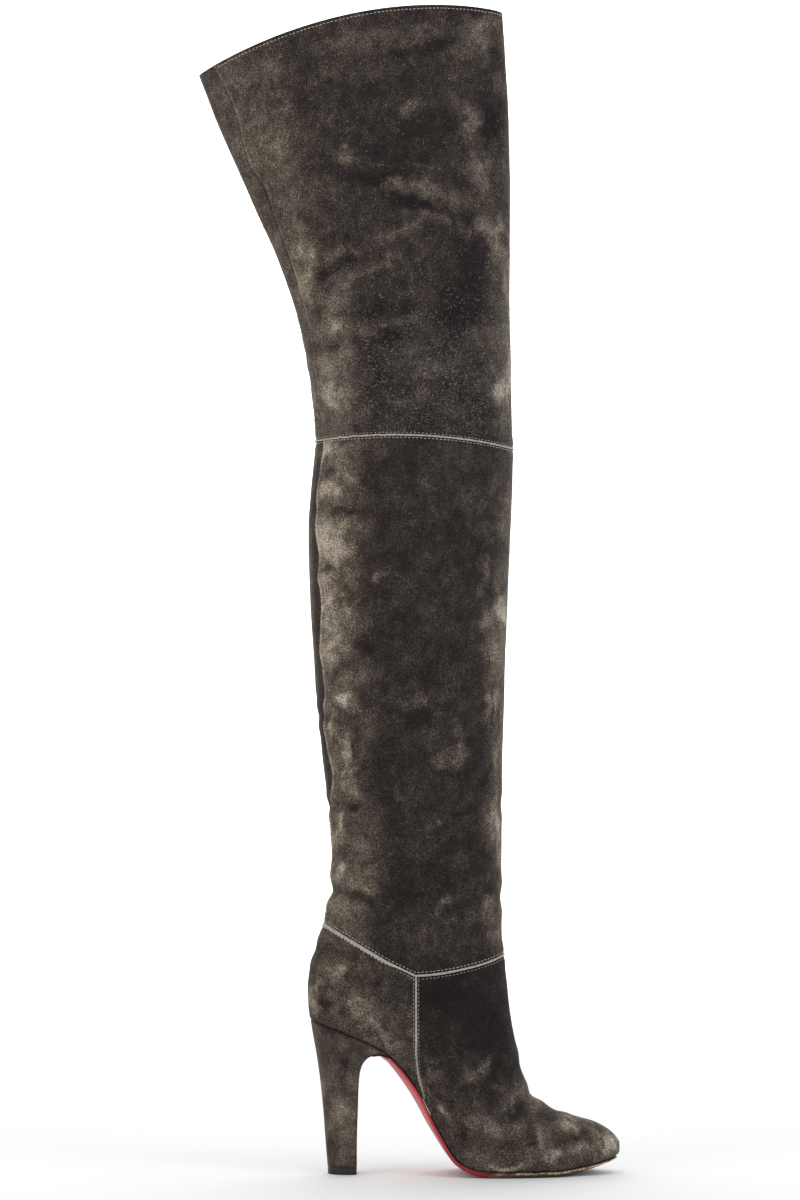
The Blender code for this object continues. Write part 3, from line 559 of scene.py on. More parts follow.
def ring(row, half_width, drop, phi, power=1.0):
    """A ring's points. half_width takes the side and t, and drop takes t."""
    t = (1 - np.cos(phi)) / 2
    x = row.back_x + (row.front_x - row.back_x) * t
    z = row.back_z + (row.front_z - row.back_z) * t + drop(t)
    swing = np.sign(np.sin(phi)) * np.abs(np.sin(phi)) ** power
    y = -swing * np.where(np.sin(phi) > 0, half_width("outer", t), half_width("inner", t))
    return np.stack([x, y, z], axis=1)


def upper_ring(at, phi):
    """The upper's outer ring at a fractional row of its table."""
    row = between(UPPER, at)

    def half_width(side, t):
        ankle = curve(ANKLE_HALF_WIDTHS, t)
        heel = curve(HEEL_SWELL, t)
        ball = curve(BALL_SWELL, t)
        swell = row.heel * heel + row.ball * ball + row.waist * (1 - heel - ball)
        return sole_swell(side, t) * (1 - row.ankle) + ankle * row.ankle + swell

    def drop(t):
        below = sole_sag(row.back_x + (row.front_x - row.back_x) * t) - t * t * sole_sag(row.front_x)
        return row.sole * below - row.vee * VEE_DEPTH * vee(t)

    return ring(row, half_width, drop, phi)


def shaft_ring(table, at, phi):
    """The shaft's outer ring at a fractional row of its table, before the back seam."""
    row = between(table, at)

    def drop(t):
        return row.arch * 4 * t * (1 - t) - row.vee * VEE_DEPTH * vee(t)

    def half_width(side, t):
        return row.half_width

    return ring(row, half_width, drop, phi, row.power)


def slope_at(height, x):
    """Slope of a height over the millimetre round x."""
    return float(height(x + 0.5) - height(x - 0.5))


def sole_top_z(x):
    """Top of the sole: a gap below the heel's lip as far as that reaches, then below the upper."""
    lip_x, lip_z = column(HEEL_LIP_ROWS, "front_x"), column(HEEL_LIP_ROWS, "front_z")
    cover = float(smooth(lip_x, lip_z, x)) if x < lip_x[-1] else math.inf
    slope = slope_at(sole_z, x)
    return min(float(sole_z(x)), cover) - SOLE_GAP * math.hypot(1.0, slope)


# Helpers for fine grids


def hump(distance, width):
    return np.exp(-((distance / width) ** 2))


def soft_step(value, low, high):
    share = np.clip((value - low) / (high - low), 0.0, 1.0)
    return share * share * (3 - 2 * share)


def ridges(away, rows):
    """Soft ridges and troughs added up, each at its distance from an edge or seam."""
    return sum(row.height * hump(away - row.at, row.width) for row in rows)


def swell(points, size, seed):
    """Soft noise from -1 to 1 with lumps of the given size, the same in every run."""
    heights = np.random.default_rng(seed).uniform(-1, 1, (SWELL_CELLS,) * 3)
    at = points / size
    low = np.floor(at).astype(int)
    part = at - low
    part = part * part * (3 - 2 * part)
    total = np.zeros(points.shape[:-1])
    for corner in np.ndindex(2, 2, 2):
        weight = np.prod(np.where(corner, part, 1 - part), axis=-1)
        i, j, k = np.moveaxis((low + corner) % SWELL_CELLS, -1, 0)
        total += weight * heights[i, j, k]
    return total


def lumpy(points, layers):
    """Layers of soft noise added up."""
    return sum(layer.strength * swell(points, layer.size, layer.seed) for layer in layers)


def crowded_angles(count, crowd):
    """Angles round a ring, closer together at the ridges of crowd."""
    fine = np.linspace(0, 360, ANGLE_STEPS)
    load = np.concatenate([[0], np.cumsum(1 + ridges((fine[1:] + fine[:-1]) / 2, crowd))])
    return np.radians(np.interp(np.arange(count) / count * load[-1], load, fine))


def signed_degrees(phi):
    """Degrees from the back, below zero on the inner side."""
    return np.degrees((phi + math.pi) % (2 * math.pi) - math.pi)


def full_turn(count):
    """Angles evenly spaced round a circle."""
    return np.linspace(0, 2 * math.pi, count, endpoint=False)


def read_off(at, known, vectors):
    """Vectors at places along a run, by straight lines between the known places."""
    return np.stack([np.interp(at, known, vectors[:, axis]) for axis in range(3)], axis=-1)


def unit(vectors):
    return vectors / np.linalg.norm(vectors, axis=-1, keepdims=True)


def outward(grid):
    """Outward normals of a stack of rings."""
    along = np.gradient(grid, axis=0)
    around = np.roll(grid, -1, axis=1) - np.roll(grid, 1, axis=1)
    return unit(np.cross(around, along))


def run_along(grid):
    """Length along each column from the first ring."""
    steps = np.linalg.norm(np.diff(grid, axis=0), axis=2)
    return np.concatenate([np.zeros((1, grid.shape[1])), np.cumsum(steps, axis=0)])


def run_around(grid):
    """Length round each ring from its back point, below zero on the inner side."""
    steps = np.linalg.norm(np.roll(grid, -1, axis=1) - grid, axis=2)
    ends = np.cumsum(steps, axis=1)
    starts = ends - steps
    total = ends[:, -1:]
    return np.where(starts > total / 2, starts - total, starts)


# A piece's surface: its grid, the ways it faces, its angles, and the distance from either edge
Skin = namedtuple("Skin", "grid facing phi low high")


def make_skin(grid, phi):
    low = run_along(grid)
    return Skin(grid, outward(grid), phi, low, low[-1:] - low)


def outer_share(phi):
    """1 on the outer side, 0 on the inner side, and a soft change between at back and front."""
    return soft_step(np.sin(phi), *SIDE_CHANGE)


# Folds and nap


def crease_push(x, z, crease):
    """Push of one crease: a soft trough with lips, fading out at the path's far end."""
    path = np.array(crease.path, float)
    shares = np.linspace(0, 1, CREASE_STEPS)
    knots = np.linspace(0, 1, len(path))
    line = np.stack([smooth(knots, path[:, axis], shares) for axis in (0, 1)], axis=1)
    nearest = np.full(x.shape, np.inf)
    fade = np.zeros(x.shape)
    for (px, pz), share in zip(line, shares):
        away = np.hypot(x - px, z - pz)
        closer = away < nearest
        nearest = np.where(closer, away, nearest)
        fade = np.where(closer, 1 - soft_step(share, CREASE_FADE_START, 1.0), fade)
    trough = Ridge(-crease.depth, 0.0, crease.width)
    lips = Ridge(crease.lip, CREASE_LIP_AT * crease.width, crease.width)
    return ridges(nearest, [trough, lips]) * fade


def crease_total(skin, region):
    x, z = skin.grid[..., 0], skin.grid[..., 2]
    outer = outer_share(skin.phi)
    total = np.zeros(x.shape)
    for crease in CREASES[region]:
        total += outer * crease_push(x, z, crease)
        total += (1 - outer) * crease_push(x, z + crease.lower, crease)
    return total


def patch_total(x, z, rows):
    total = np.zeros(x.shape)
    for patch in rows:
        turn = math.radians(patch.tilt)
        dx, dz = x - patch.x, z - patch.z
        along = (dx * math.cos(turn) + dz * math.sin(turn)) / patch.along
        across = (dz * math.cos(turn) - dx * math.sin(turn)) / patch.across
        total += patch.nap * np.exp(-((along**2 + across**2) ** PATCH_POWER))
    return total


def nap_clouds(points, region, outer):
    """Brushed patches with ragged edges, and clouds of lighter and darker nap."""
    x = points[..., 0] + lumpy(points, NAP_WARP_X)
    z = points[..., 2] + lumpy(points, NAP_WARP_Z)
    brushed = outer * patch_total(x, z, NAP_PATCHES[region])
    brushed += (1 - outer) * patch_total(x, z + INNER_NAP_DROP[region], NAP_PATCHES[region])
    return brushed + lumpy(points, NAP_CLOUDS)


def edge_roll(away, stitch):
    """A panel's edge at a seam: it rolls in, swells behind and is dented along the stitches."""
    return ridges(away, EDGE_ROLL) + ridges(away - stitch, STITCH_DENT)


def ahead_of_seam(skin):
    """Distance round the leg from the back seam, above zero on the outer panel."""
    around = run_around(skin.grid)
    turn = signed_degrees(skin.phi)
    order = np.argsort(turn)
    places = curve(SEAM_TRACK, skin.grid[:, 0, 2])
    seam = [np.interp(place, turn[order], row[order]) for place, row in zip(places, around)]
    return around - np.array(seam)[:, None]


# Building pieces


def add_object(name, data):
    made = bpy.data.objects.new(name, data)
    bpy.context.scene.collection.objects.link(made)
    return made


def quads(number):
    """Faces of a grid of vertex numbers whose columns close into rings."""
    beside = np.roll(number, -1, axis=1)
    return np.stack([number[:-1], beside[:-1], beside[1:], number[1:]], axis=-1).reshape(-1, 4)


def numbered(points):
    """Vertex numbers in the shape of an array of points."""
    return np.arange(points[..., 0].size).reshape(points.shape[:-1])


def capped_tube(rings):
    """Faces of a stack of rings, closed at both ends by one face."""
    number = numbered(rings)
    return quads(number).tolist() + [number[0][::-1].tolist(), number[-1].tolist()]


def add_piece(name, points, faces, look, replaces=(), nap=None, sharp_deg=SHARP_DEG):
    mesh = bpy.data.meshes.new(name)
    mesh.from_pydata((np.reshape(points, (-1, 3)) * MM).tolist(), [], faces)
    mesh.shade_smooth()
    mesh.set_sharp_from_angle(angle=math.radians(sharp_deg))
    mesh.materials.append(look)
    if nap is not None:
        # The points' values: brushed nap tone together with painted light and shade
        shade = mesh.attributes.new("nap", "FLOAT", "POINT")
        shade.data.foreach_set("value", np.ravel(nap).astype(np.float32))
    piece = add_object(name, mesh)
    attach(piece, "root")
    if replaces:
        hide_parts(*replaces)


def add_sheet(name, front, back, look, replaces=(), nap=None):
    """A closed sheet between two stacks of rings with the same columns."""
    points = np.concatenate([front, back])
    number = numbered(points)
    fore, rear = number[: len(front)], number[len(front) :]
    faces = np.concatenate([
        quads(fore),
        quads(rear[::-1]),
        quads(np.stack([rear[0], fore[0]])),
        quads(np.stack([fore[-1], rear[-1]])),
    ]).tolist()
    if nap is not None:
        nap = np.concatenate([nap, np.full(back.shape[:2], BACK_NAP)])
    add_piece(name, points, faces, look, replaces, nap)


def every(count, step):
    """Row numbers a step apart, with the last one always there."""
    return np.unique(np.append(np.arange(0, count, step), count - 1))


def suede_back(shape, facing):
    return (shape - SUEDE_DEPTH * facing)[every(len(shape), BACK_ROW_STEP)]


def add_lining(name, shape, facing, look, drop_top=0):
    rows = every(len(shape) - drop_top, LINING_ROW_STEP)
    face, way = shape[rows][:, ::LINING_COLUMN_STEP], facing[rows][:, ::LINING_COLUMN_STEP]
    add_sheet(name, face - LINING_START * way, face - WALL * way, look)


def add_wall(name, node, skin, push, nap, suede, lining):
    """A hollow wall's suede and lining. Gives back the skin with its folds."""
    shape = skin.grid + push[..., None] * skin.facing
    add_sheet(f"{name}_suede", shape, suede_back(shape, skin.facing), suede, [node], nap)
    add_lining(f"{name}_lining", shape, skin.facing, lining)
    return skin._replace(grid=shape)


def row_places(table, count):
    """Fractional rows of a table, evenly spaced up the leg."""
    fine = np.linspace(0, len(table) - 1, ROW_STEPS)
    rows = np.arange(len(table))
    height = smooth(rows, column(table, "back_z") + column(table, "front_z"), fine)
    return np.interp(np.linspace(height[0], height[-1], count), height, fine)


def cut_edge(grid, first, last):
    """Draws the end rings back by the seam's half slot, where there is a seam."""
    ease = np.zeros(len(grid))
    ease[:CUT_ROWS] = first * (1 - np.arange(CUT_ROWS) / CUT_ROWS)
    ease[-CUT_ROWS:] = -last * (1 - np.arange(CUT_ROWS)[::-1] / CUT_ROWS)
    grid[..., 2] += SEAM_SLOT * ease[:, None]
    return grid


def shaft_skin(table, rows, columns, last):
    phi = crowded_angles(columns, BACK_CROWD)
    grid = np.array([shaft_ring(table, at, phi) for at in row_places(table, rows)])
    return make_skin(cut_edge(grid, 1, last), phi)


# Brushed nap round a shaft; its lighter back and front are partly painted rim light
def shaft_nap_and_rim_light(skin, region, base):
    share = (1 - np.cos(skin.phi)) / 2 + lumpy(skin.grid, BAND_WARP)
    ground = curve(base, np.clip(share, 0, 1))
    return ground + nap_clouds(skin.grid, region, outer_share(skin.phi))


def build_leg(suede, lining):
    skin = shaft_skin(LEG, LEG_ROWS, LEG_COLUMNS, 1)
    ahead = ahead_of_seam(skin)
    panel = ahead > 0

    def beside_seam(on_panel, on_strip):
        return np.where(panel, ridges(ahead, on_panel), ridges(ahead, on_strip))

    lap = np.where(panel, soft_step(ahead, 0, LAP_STEP) * 2 - 1, -1)
    bulge = PUCKER_SHARE * curve(PUCKERS, skin.grid[:, :1, 2])
    folds = crease_total(skin, "leg")
    push = LAP_RISE * lap * beside_seam(LAP_PANEL, LAP_STRIP) + folds + lumpy(skin.grid, RIPPLE)
    push += bulge * beside_seam(PUCKER_PANEL, PUCKER_STRIP)
    push += edge_roll(skin.low, ANKLE_STITCH) + edge_roll(skin.high, KNEE_STITCH)
    # Painted light and shade in the tone: on the folds, along the rolled edges, on the lapped panel's edge,
    # on the strip behind it and on the puckers
    nap = shaft_nap_and_rim_light(skin, "leg", LEG_NAP_AND_RIM_LIGHT) + CREASE_PAINTED_LIGHT * folds
    nap += ridges(skin.low, EDGE_PAINTED_SHADE) + ridges(skin.high, EDGE_PAINTED_SHADE)
    nap += beside_seam(PANEL_PAINTED_HIGHLIGHT, STRIP_PAINTED_SHADOW) + bulge * beside_seam(PUCKER_PAINTED_LIGHT, [])
    return add_wall("leg", "leg_shaft", skin, push, nap, suede, lining)


def build_thigh(suede, lining):
    skin = shaft_skin(THIGH, THIGH_ROWS, THIGH_COLUMNS, 0)
    ahead = ahead_of_seam(skin)
    folds = crease_total(skin, "thigh")
    push = ridges(ahead, THIGH_SEAM) + folds + lumpy(skin.grid, RIPPLE)
    push += edge_roll(skin.low, KNEE_STITCH) + ridges(skin.high - COLLAR_STITCH, STITCH_DENT)
    # Painted light and shade in the tone: on the folds, along the knee's rolled edge and on the seam's ridge
    # and trough
    nap = shaft_nap_and_rim_light(skin, "thigh", THIGH_NAP_AND_RIM_LIGHT) + CREASE_PAINTED_LIGHT * folds
    nap += outer_share(skin.phi) * patch_total(skin.grid[..., 0], skin.grid[..., 2], SCUFFS)
    nap += ridges(skin.low, EDGE_PAINTED_SHADE) + ridges(ahead, THIGH_SEAM_PAINTED_LIGHT) + ridges(skin.high, COLLAR_SHADE)
    shape = skin.grid + push[..., None] * skin.facing
    radius = SUEDE_DEPTH / 2
    up = unit(shape[-1] - shape[-2])
    shape[-CUT_ROWS:, :, 2] -= (radius * np.arange(1, CUT_ROWS + 1) / CUT_ROWS)[:, None]
    turns = np.linspace(0, math.pi, COLLAR_RIM_STEPS + 1)[1:-1]
    level = skin.facing[-1]
    rim = [shape[-1] - radius * (1 - math.cos(a)) * level + radius * math.sin(a) * up for a in turns]
    nap = np.concatenate([nap, np.repeat(nap[-1:] + COLLAR_RIM_SHADE, len(rim), axis=0)])
    front, back = np.concatenate([shape, rim]), suede_back(shape, skin.facing)
    add_sheet("thigh_suede", front, back, suede, ["thigh_shaft"], nap)
    add_lining("thigh_lining", shape, skin.facing, lining, drop_top=1)
    return skin._replace(grid=shape)


def seam_x(row_numbers):
    return curve(SIDE_SEAM[::-1], row_numbers)


def build_upper(suede, lining):
    phi = crowded_angles(UPPER_COLUMNS, SIDE_CROWD)
    grid = np.array([upper_ring(at, phi) for at in UPPER_PLACES])
    skin = make_skin(cut_edge(grid, 0, 1), phi)
    ahead = skin.grid[..., 0] - seam_x(UPPER_PLACES)[:, None]
    off_seam = np.abs(ahead)
    folds = crease_total(skin, "foot")
    push = folds + lumpy(skin.grid, RIPPLE) + ridges(skin.low, FEATHER_ROLL)
    push += edge_roll(skin.high, ANKLE_STITCH) + edge_roll(off_seam, SIDE_STITCH)
    vamp = soft_step(ahead, -VAMP_CHANGE, VAMP_CHANGE)
    nap = COUNTER_NAP * (1 - vamp) + curve(VAMP_NAP, skin.grid[..., 2]) * vamp
    # Painted light and shade in the tone: on the folds, and along the rolled edges at the seams and the sole
    nap += nap_clouds(skin.grid, "foot", outer_share(phi)) + CREASE_PAINTED_LIGHT * folds
    nap += ridges(skin.high, EDGE_PAINTED_SHADE) + ridges(off_seam, EDGE_PAINTED_SHADE) + ridges(skin.low, FEATHER_PAINTED_SHADE)
    return add_wall("upper", "upper", skin, push, nap, suede, lining)


# Piping


def piping_section(rise, depth):
    """A rounded cord's section: shifts across the seam and lifts out of it."""
    turns = full_turn(PIPING_SIDES)
    lift = np.sin(turns)
    shift = CORD_HALF_WIDTH * np.sign(np.cos(turns)) * np.abs(np.cos(turns)) ** CORD_POWER
    return zip(shift, np.where(lift > 0, rise, depth) * lift)


def add_piping_ring(name, loop, below, look, flap, ridge):
    """A raw edged cord in the slot along a seam ring.

    below is a ring lower down the leg, flap says where the cord's lower edge is turned down and
    notched, and ridge how wide its light crest is."""
    around = np.roll(loop, -1, axis=0) - np.roll(loop, 1, axis=0)
    way = unit(np.stack([around[:, 1], -around[:, 0], np.zeros(len(loop))], axis=1))
    down = unit(below - loop)
    steps = np.linalg.norm(np.roll(loop, -1, axis=0) - loop, axis=1)
    tooth = ((np.cumsum(steps) - steps) / TOOTH_PITCH) % 1
    drop = flap * (FLAP_REACH + FLAP_TEETH * tooth + lumpy(loop, FLAP_FRAY))
    rough = lumpy(loop, CORD_FRAY) / ridge
    wander = (1 - ridge) * lumpy(loop, CORD_WANDER)
    sides, shades = [], []
    for shift, lift in piping_section(CORD_RISE, CORD_DEPTH):
        crest = lift > CREST_START
        reach = shift * (ridge if crest else 1.0) * (1 + lumpy(loop, CORD_SWELL)) + wander * crest
        reach = reach + np.where(shift < 0, drop * shift / CORD_HALF_WIDTH, 0)
        out = lift + rough * crest + (FLAP_LIFT * flap if shift < 0 and lift > FLAP_START else 0)
        along = np.where((reach < 0)[:, None], -reach[:, None] * down, reach[:, None] * [0, 0, 1])
        sides.append(loop + out[:, None] * way + along)
        # Painted shade: at the knee the cord's sides beside the crest are darker; the turned down flap stays
        # light
        shades.append(np.ones(len(loop)) if crest else np.maximum(flap, 2 * ridge - 1))
    number = numbered(np.array(sides))
    faces = quads(np.concatenate([number, number[:1]])).tolist()
    add_piece(f"{name}_cord", sides, faces, look, [name], shades)


def build_piping_rings(look):
    phi = full_turn(PIPING_COLUMNS)
    ankle, knee = len(UPPER) - 1, len(LEG) - 1
    loop, below = upper_ring(ankle, phi), upper_ring(ankle - ANKLE_PIPING_DROP, phi)
    add_piping_ring("ankle_piping", loop, below, look, soft_step(np.cos(phi), *FLAP_CHANGE), 1.0)
    loop, below = shaft_ring(LEG, knee, phi), shaft_ring(LEG, knee - KNEE_PIPING_DROP, phi)
    add_piping_ring("knee_piping", loop, below, look, np.zeros(PIPING_COLUMNS), KNEE_RIDGE)


def side_line(skin, shift, rows, side):
    """Points beside the side seam and the ways they face, between two rows of the upper's table."""
    half = len(skin.phi) // 2
    span = slice(1, half) if side == "outer" else slice(None, half, -1)
    points, ways = [], []
    for r in np.flatnonzero((UPPER_PLACES >= rows[0]) & (UPPER_PLACES < rows[1])):
        places, facing = skin.grid[r, span], skin.facing[r, span]
        at_x = float(seam_x(UPPER_PLACES[r])) + shift
        points.append(read_off(at_x, places[:, 0], places))
        ways.append(read_off(at_x, places[:, 0], facing))
    return np.array(points), np.array(ways)


def build_side_piping(skin, side, look):
    path, way = side_line(skin, 0.0, SIDE_PIPING_ROWS, side)
    way = unit(way)
    across = unit(np.cross(way, np.gradient(path, axis=0)))
    grown = np.minimum(1.0, np.arange(len(path)) / SIDE_PIPING_TAPER_ROWS)
    taper = SIDE_PIPING_END_SHARE + (1 - SIDE_PIPING_END_SHARE) * grown
    strands = []
    for shift, lift in piping_section(SIDE_PIPING_RISE, SIDE_PIPING_DEPTH):
        reach = shift * taper * (1 + lumpy(path, CORD_SWELL))
        out = lift * taper + lumpy(path + shift, SIDE_CORD_FRAY)
        strands.append(path + reach[:, None] * across + out[:, None] * way)
    points = np.stack(strands, axis=1)
    name, nap = f"side_piping_{side}", np.ones(points.shape[:2])
    add_piece(f"{name}_cord", points, capped_tube(points), look, [name], nap)


# Stitches


def seam_run(skin, away, from_top, keep):
    """Points that far from a piece's edge, with the ways they face, where keep is true.

    keep takes signed degrees from the back."""
    turn = np.degrees(skin.phi)
    order = np.argsort((turn - STITCH_START) % 360)
    order = order[keep(signed_degrees(skin.phi)[order])]
    rows = slice(None, None, -1) if from_top else slice(None)
    measure = (skin.high if from_top else skin.low)[rows]
    grid, facing = skin.grid[rows], skin.facing[rows]
    points = [read_off(away, measure[:, c], grid[:, c]) for c in order]
    ways = [read_off(away, measure[:, c], facing[:, c]) for c in order]
    return np.array(points), np.array(ways)


def everywhere(turn):
    return np.ones(turn.shape, bool)


def off_strip(turn):
    return (turn > STRIP_TURNS[1]) | (turn < STRIP_TURNS[0])


def off_flap(turn):
    return np.abs(turn) > FLAP_TURN


def add_stitches(name, runs, look, seed):
    """Short threads laid end to end in one mesh. Each run has its own radius."""
    rng = np.random.default_rng(seed)
    blocks = []
    for (points, ways), radius in runs:
        steps = np.linalg.norm(np.diff(points, axis=0), axis=1)
        length = np.concatenate([[0], np.cumsum(steps)])
        middles = np.arange(STITCH_PITCH, length[-1] - STITCH_PITCH / 2, STITCH_PITCH)
        middles = middles + rng.uniform(-STITCH_SHIFT, STITCH_SHIFT, len(middles))
        reach = THREAD_SHARES * STITCH_LENGTH * rng.uniform(*STITCH_STRETCH, (len(middles), 1))
        at = middles[:, None] + reach
        path, way = read_off(at, length, points), read_off(at, length, ways)
        path = path + THREAD_LIFTS[:, None] * way
        across = np.cross(unit(path[:, -1:] - path[:, :1]), way)
        path = path + across * rng.uniform(-STITCH_SWAY, STITCH_SWAY, (len(middles), 1, 1))
        turns = full_turn(THREAD_SIDES)
        spokes = np.cos(turns)[:, None] * across[:, :, None] + np.sin(turns)[:, None] * way[:, :, None]
        blocks.append(path[:, :, None] + radius * THREAD_GIRTHS[:, None, None] * spokes)
    threads = np.concatenate(blocks)
    faces = []
    for thread in numbered(threads):
        faces += quads(thread[::-1]).tolist()
        faces += [thread[0].tolist(), thread[-1][::-1].tolist()]
    add_piece(name, threads, faces, look)


def build_stitches(upper, leg, thigh, look):
    collar = seam_run(thigh, COLLAR_STITCH, True, off_strip)
    knee_high = seam_run(thigh, KNEE_STITCH, False, everywhere)
    knee_low = seam_run(leg, KNEE_STITCH, True, everywhere)
    ankle_high = seam_run(leg, ANKLE_STITCH, False, everywhere)
    ankle_low = seam_run(upper, ANKLE_STITCH, True, off_flap)
    sides = [(side, shift) for side in ("outer", "inner") for shift in (-SIDE_STITCH, SIDE_STITCH)]
    side_runs = [side_line(upper, shift, SIDE_STITCH_ROWS, side) for side, shift in sides]
    bold, fine = STITCH_RADIUS, FINE_STITCH_RADIUS
    add_stitches("collar_stitches", [(collar, bold)], look, seed=1)
    add_stitches("knee_stitches", [(knee_high, fine), (knee_low, bold)], look, seed=2)
    add_stitches("ankle_stitches", [(ankle_high, bold), (ankle_low, fine)], look, seed=3)
    add_stitches("side_stitches", [(run, fine) for run in side_runs], look, seed=4)


# Loose hairs


def add_hairs(name, skin, share, number, look, seed):
    """Thin bent hairs, lying any way on the suede and thickest where share is high."""
    rng = np.random.default_rng(seed)
    tall = np.linalg.norm(np.gradient(skin.grid, axis=0), axis=-1)
    wide = np.linalg.norm(np.gradient(skin.grid, axis=1), axis=-1)
    weight = (share * tall * wide).ravel()
    picks = rng.choice(weight.size, number, p=weight / weight.sum())
    root, facing = skin.grid.reshape(-1, 3)[picks], skin.facing.reshape(-1, 3)[picks]
    level = unit(np.cross(facing, (0.0, 0.0, 1.0)))
    turn = rng.uniform(0, 2 * math.pi, (number, 1))
    way = np.cos(turn) * level + np.sin(turn) * np.cross(facing, level)
    aside = np.cross(facing, way)
    length = rng.uniform(*HAIR_LENGTHS, (number, 1))
    radius = rng.uniform(*HAIR_RADII, (number, 1))
    curl = rng.normal(0, HAIR_CURL, (number, 1)) * length
    root = root + rng.uniform(-HAIR_SCATTER, HAIR_SCATTER, (number, 1)) * level
    middle = root + HAIR_MIDDLE * length * way + HAIR_MIDDLE**2 * curl * aside + HAIR_LIFT * facing
    tip = root + length * way + curl * aside + HAIR_TIP_LIFT * facing
    corners = []
    for place in (root, middle):
        for angle in (0, 2 * math.pi / 3, 4 * math.pi / 3):
            corners.append(place + radius * (math.cos(angle) * facing + math.sin(angle) * aside))
    points = np.stack([*corners, tip], axis=1)
    one = [(2, 1, 0), (0, 1, 4, 3), (1, 2, 5, 4), (2, 0, 3, 5), (3, 4, 6), (4, 5, 6), (5, 3, 6)]
    faces = [hair[list(face)].tolist() for hair in numbered(points) for face in one]
    add_piece(name, points, faces, look)


# Heel, tip and sole


def heel_loop(row, shrink=0.0):
    """A ring of the heel: round at the back, and cut across at the breast with soft corners."""
    share = (1 - np.cos(np.linspace(0, math.pi, HEEL_SIDE_POINTS))) / 2
    seat_x = HEEL_X + (HEEL[-1].front_x - HEEL_X) * share
    back_x, front_x = row.back_x + shrink, row.front_x - shrink
    x = back_x + (front_x - back_x) * share
    chord = HEEL[-1].back_z + (HEEL[-1].front_z - HEEL[-1].back_z) * share
    z = row.back_z + (row.front_z - row.back_z) * share + row.seat * (sole_z(seat_x) - SEAT_GAP - chord)
    scale = (row.half_width - shrink) / HEEL[-1].half_width
    into = np.clip(HEEL_CORNER_RADIUS - (front_x - x), 0.0, HEEL_CORNER_RADIUS)
    corner = HEEL_CORNER_RADIUS - np.sqrt(HEEL_CORNER_RADIUS**2 - into**2)
    outer = np.stack([x, corner - sole_half_width("outer", seat_x) * scale, z], axis=1)
    inner = np.stack([x, sole_half_width("inner", seat_x) * scale - corner, z], axis=1)
    shares = np.linspace(0, 1, HEEL_BREAST_POINTS + 2)[1:-1]
    breast = [outer[-1] + (inner[-1] - outer[-1]) * share for share in shares]
    return np.concatenate([outer, breast, inner[:0:-1]])


def rungs(loop):
    """Faces across a heel's loop from side to side, like the rungs of a ladder."""
    count = len(loop)
    side = HEEL_SIDE_POINTS
    faces = [[loop[0], loop[1], loop[-1]]]
    faces += [[loop[i], loop[i + 1], loop[count - i - 1], loop[count - i]] for i in range(1, side - 2)]
    return faces + [list(loop[side - 2 : count - side + 3])]


def add_heel_loft(name, loops, look, replaces, nap=None):
    number = numbered(np.array(loops))
    faces = quads(number).tolist()
    faces += [face[::-1] for face in rungs(number[0].tolist())] + rungs(number[-1].tolist())
    add_piece(name, loops, faces, look, replaces, nap)


def build_heel(suede):
    loops = np.array([heel_loop(between(HEEL, at)) for at in np.linspace(0, len(HEEL) - 1, HEEL_ROWS)])
    nap = HEEL_NAP + nap_clouds(loops, "heel", soft_step(-loops[..., 1], *HEEL_SIDE_CHANGE))
    up = run_along(loops)
    # Darker near the heel's foot, and painted shade under the upper at its top
    nap += ridges(up, HEEL_FOOT_SHADE) + ridges(up[-1:] - up, HEEL_SEAT_PAINTED_SHADE)
    add_heel_loft("heel_cover", loops, suede, ["heel"], nap)


def build_heel_tip(rubber):
    loops = [heel_loop(HEEL[0]._replace(back_z=z, front_z=z), shrink) for z, shrink in TIP_LEVELS]
    add_heel_loft("heel_top_piece", loops, rubber, ["heel_tip"])


def sole_section(x):
    """The sole's cross section: down the outer edge, along the underside and up the inner edge.

    Beside the points it gives each one's depth below the top edge, for the colours. At the thin back
    end that depth starts past the black line, so that the red reaches the heel."""
    slope = slope_at(sole_top_z, x)
    down = np.array([slope, 0.0, -1.0]) / math.hypot(1.0, slope)
    taper = SOLE_END_SHARE + (1 - SOLE_END_SHARE) * float(soft_step(x, SOLE_END_X, SOLE_FULL_X))
    edge = taper * float(smooth(column(SOLE, "x"), column(SOLE, "edge"), x))
    belly = taper * float(smooth(column(SOLE, "x"), column(SOLE, "belly"), x))
    outer = -float(sole_half_width("outer", x)) - SOLE_OVERHANG
    inner = float(sole_half_width("inner", x)) + SOLE_OVERHANG
    middle, half = (outer + inner) / 2, (inner - outer) / 2
    corner = min(SOLE_CORNER, edge * SOLE_CORNER_OF_EDGE, half * SOLE_CORNER_OF_HALF)
    depths = np.linspace(0, edge - corner, SOLE_SIDE_POINTS)
    turns = np.linspace(0, math.pi / 2, SOLE_CORNER_STEPS + 1)[1:-1]
    rim = [(-half + corner * (1 - math.cos(a)), edge - corner + corner * math.sin(a)) for a in turns]
    side = [(-half, depth) for depth in depths] + rim
    flat = half - corner
    under = [(flat * s, edge + belly * (1 - s * s)) for s in np.linspace(-1, 1, SOLE_UNDER_POINTS)]
    outline = np.array(side + under + [(-across, depth) for across, depth in reversed(side)])
    top = np.array([x, middle, sole_top_z(x)])
    points = top + np.outer(outline[:, 0], [0, 1, 0]) + np.outer(outline[:, 1], down)
    return points, outline[:, 1] + (1 - taper) * SOLE_BLACK_LINE


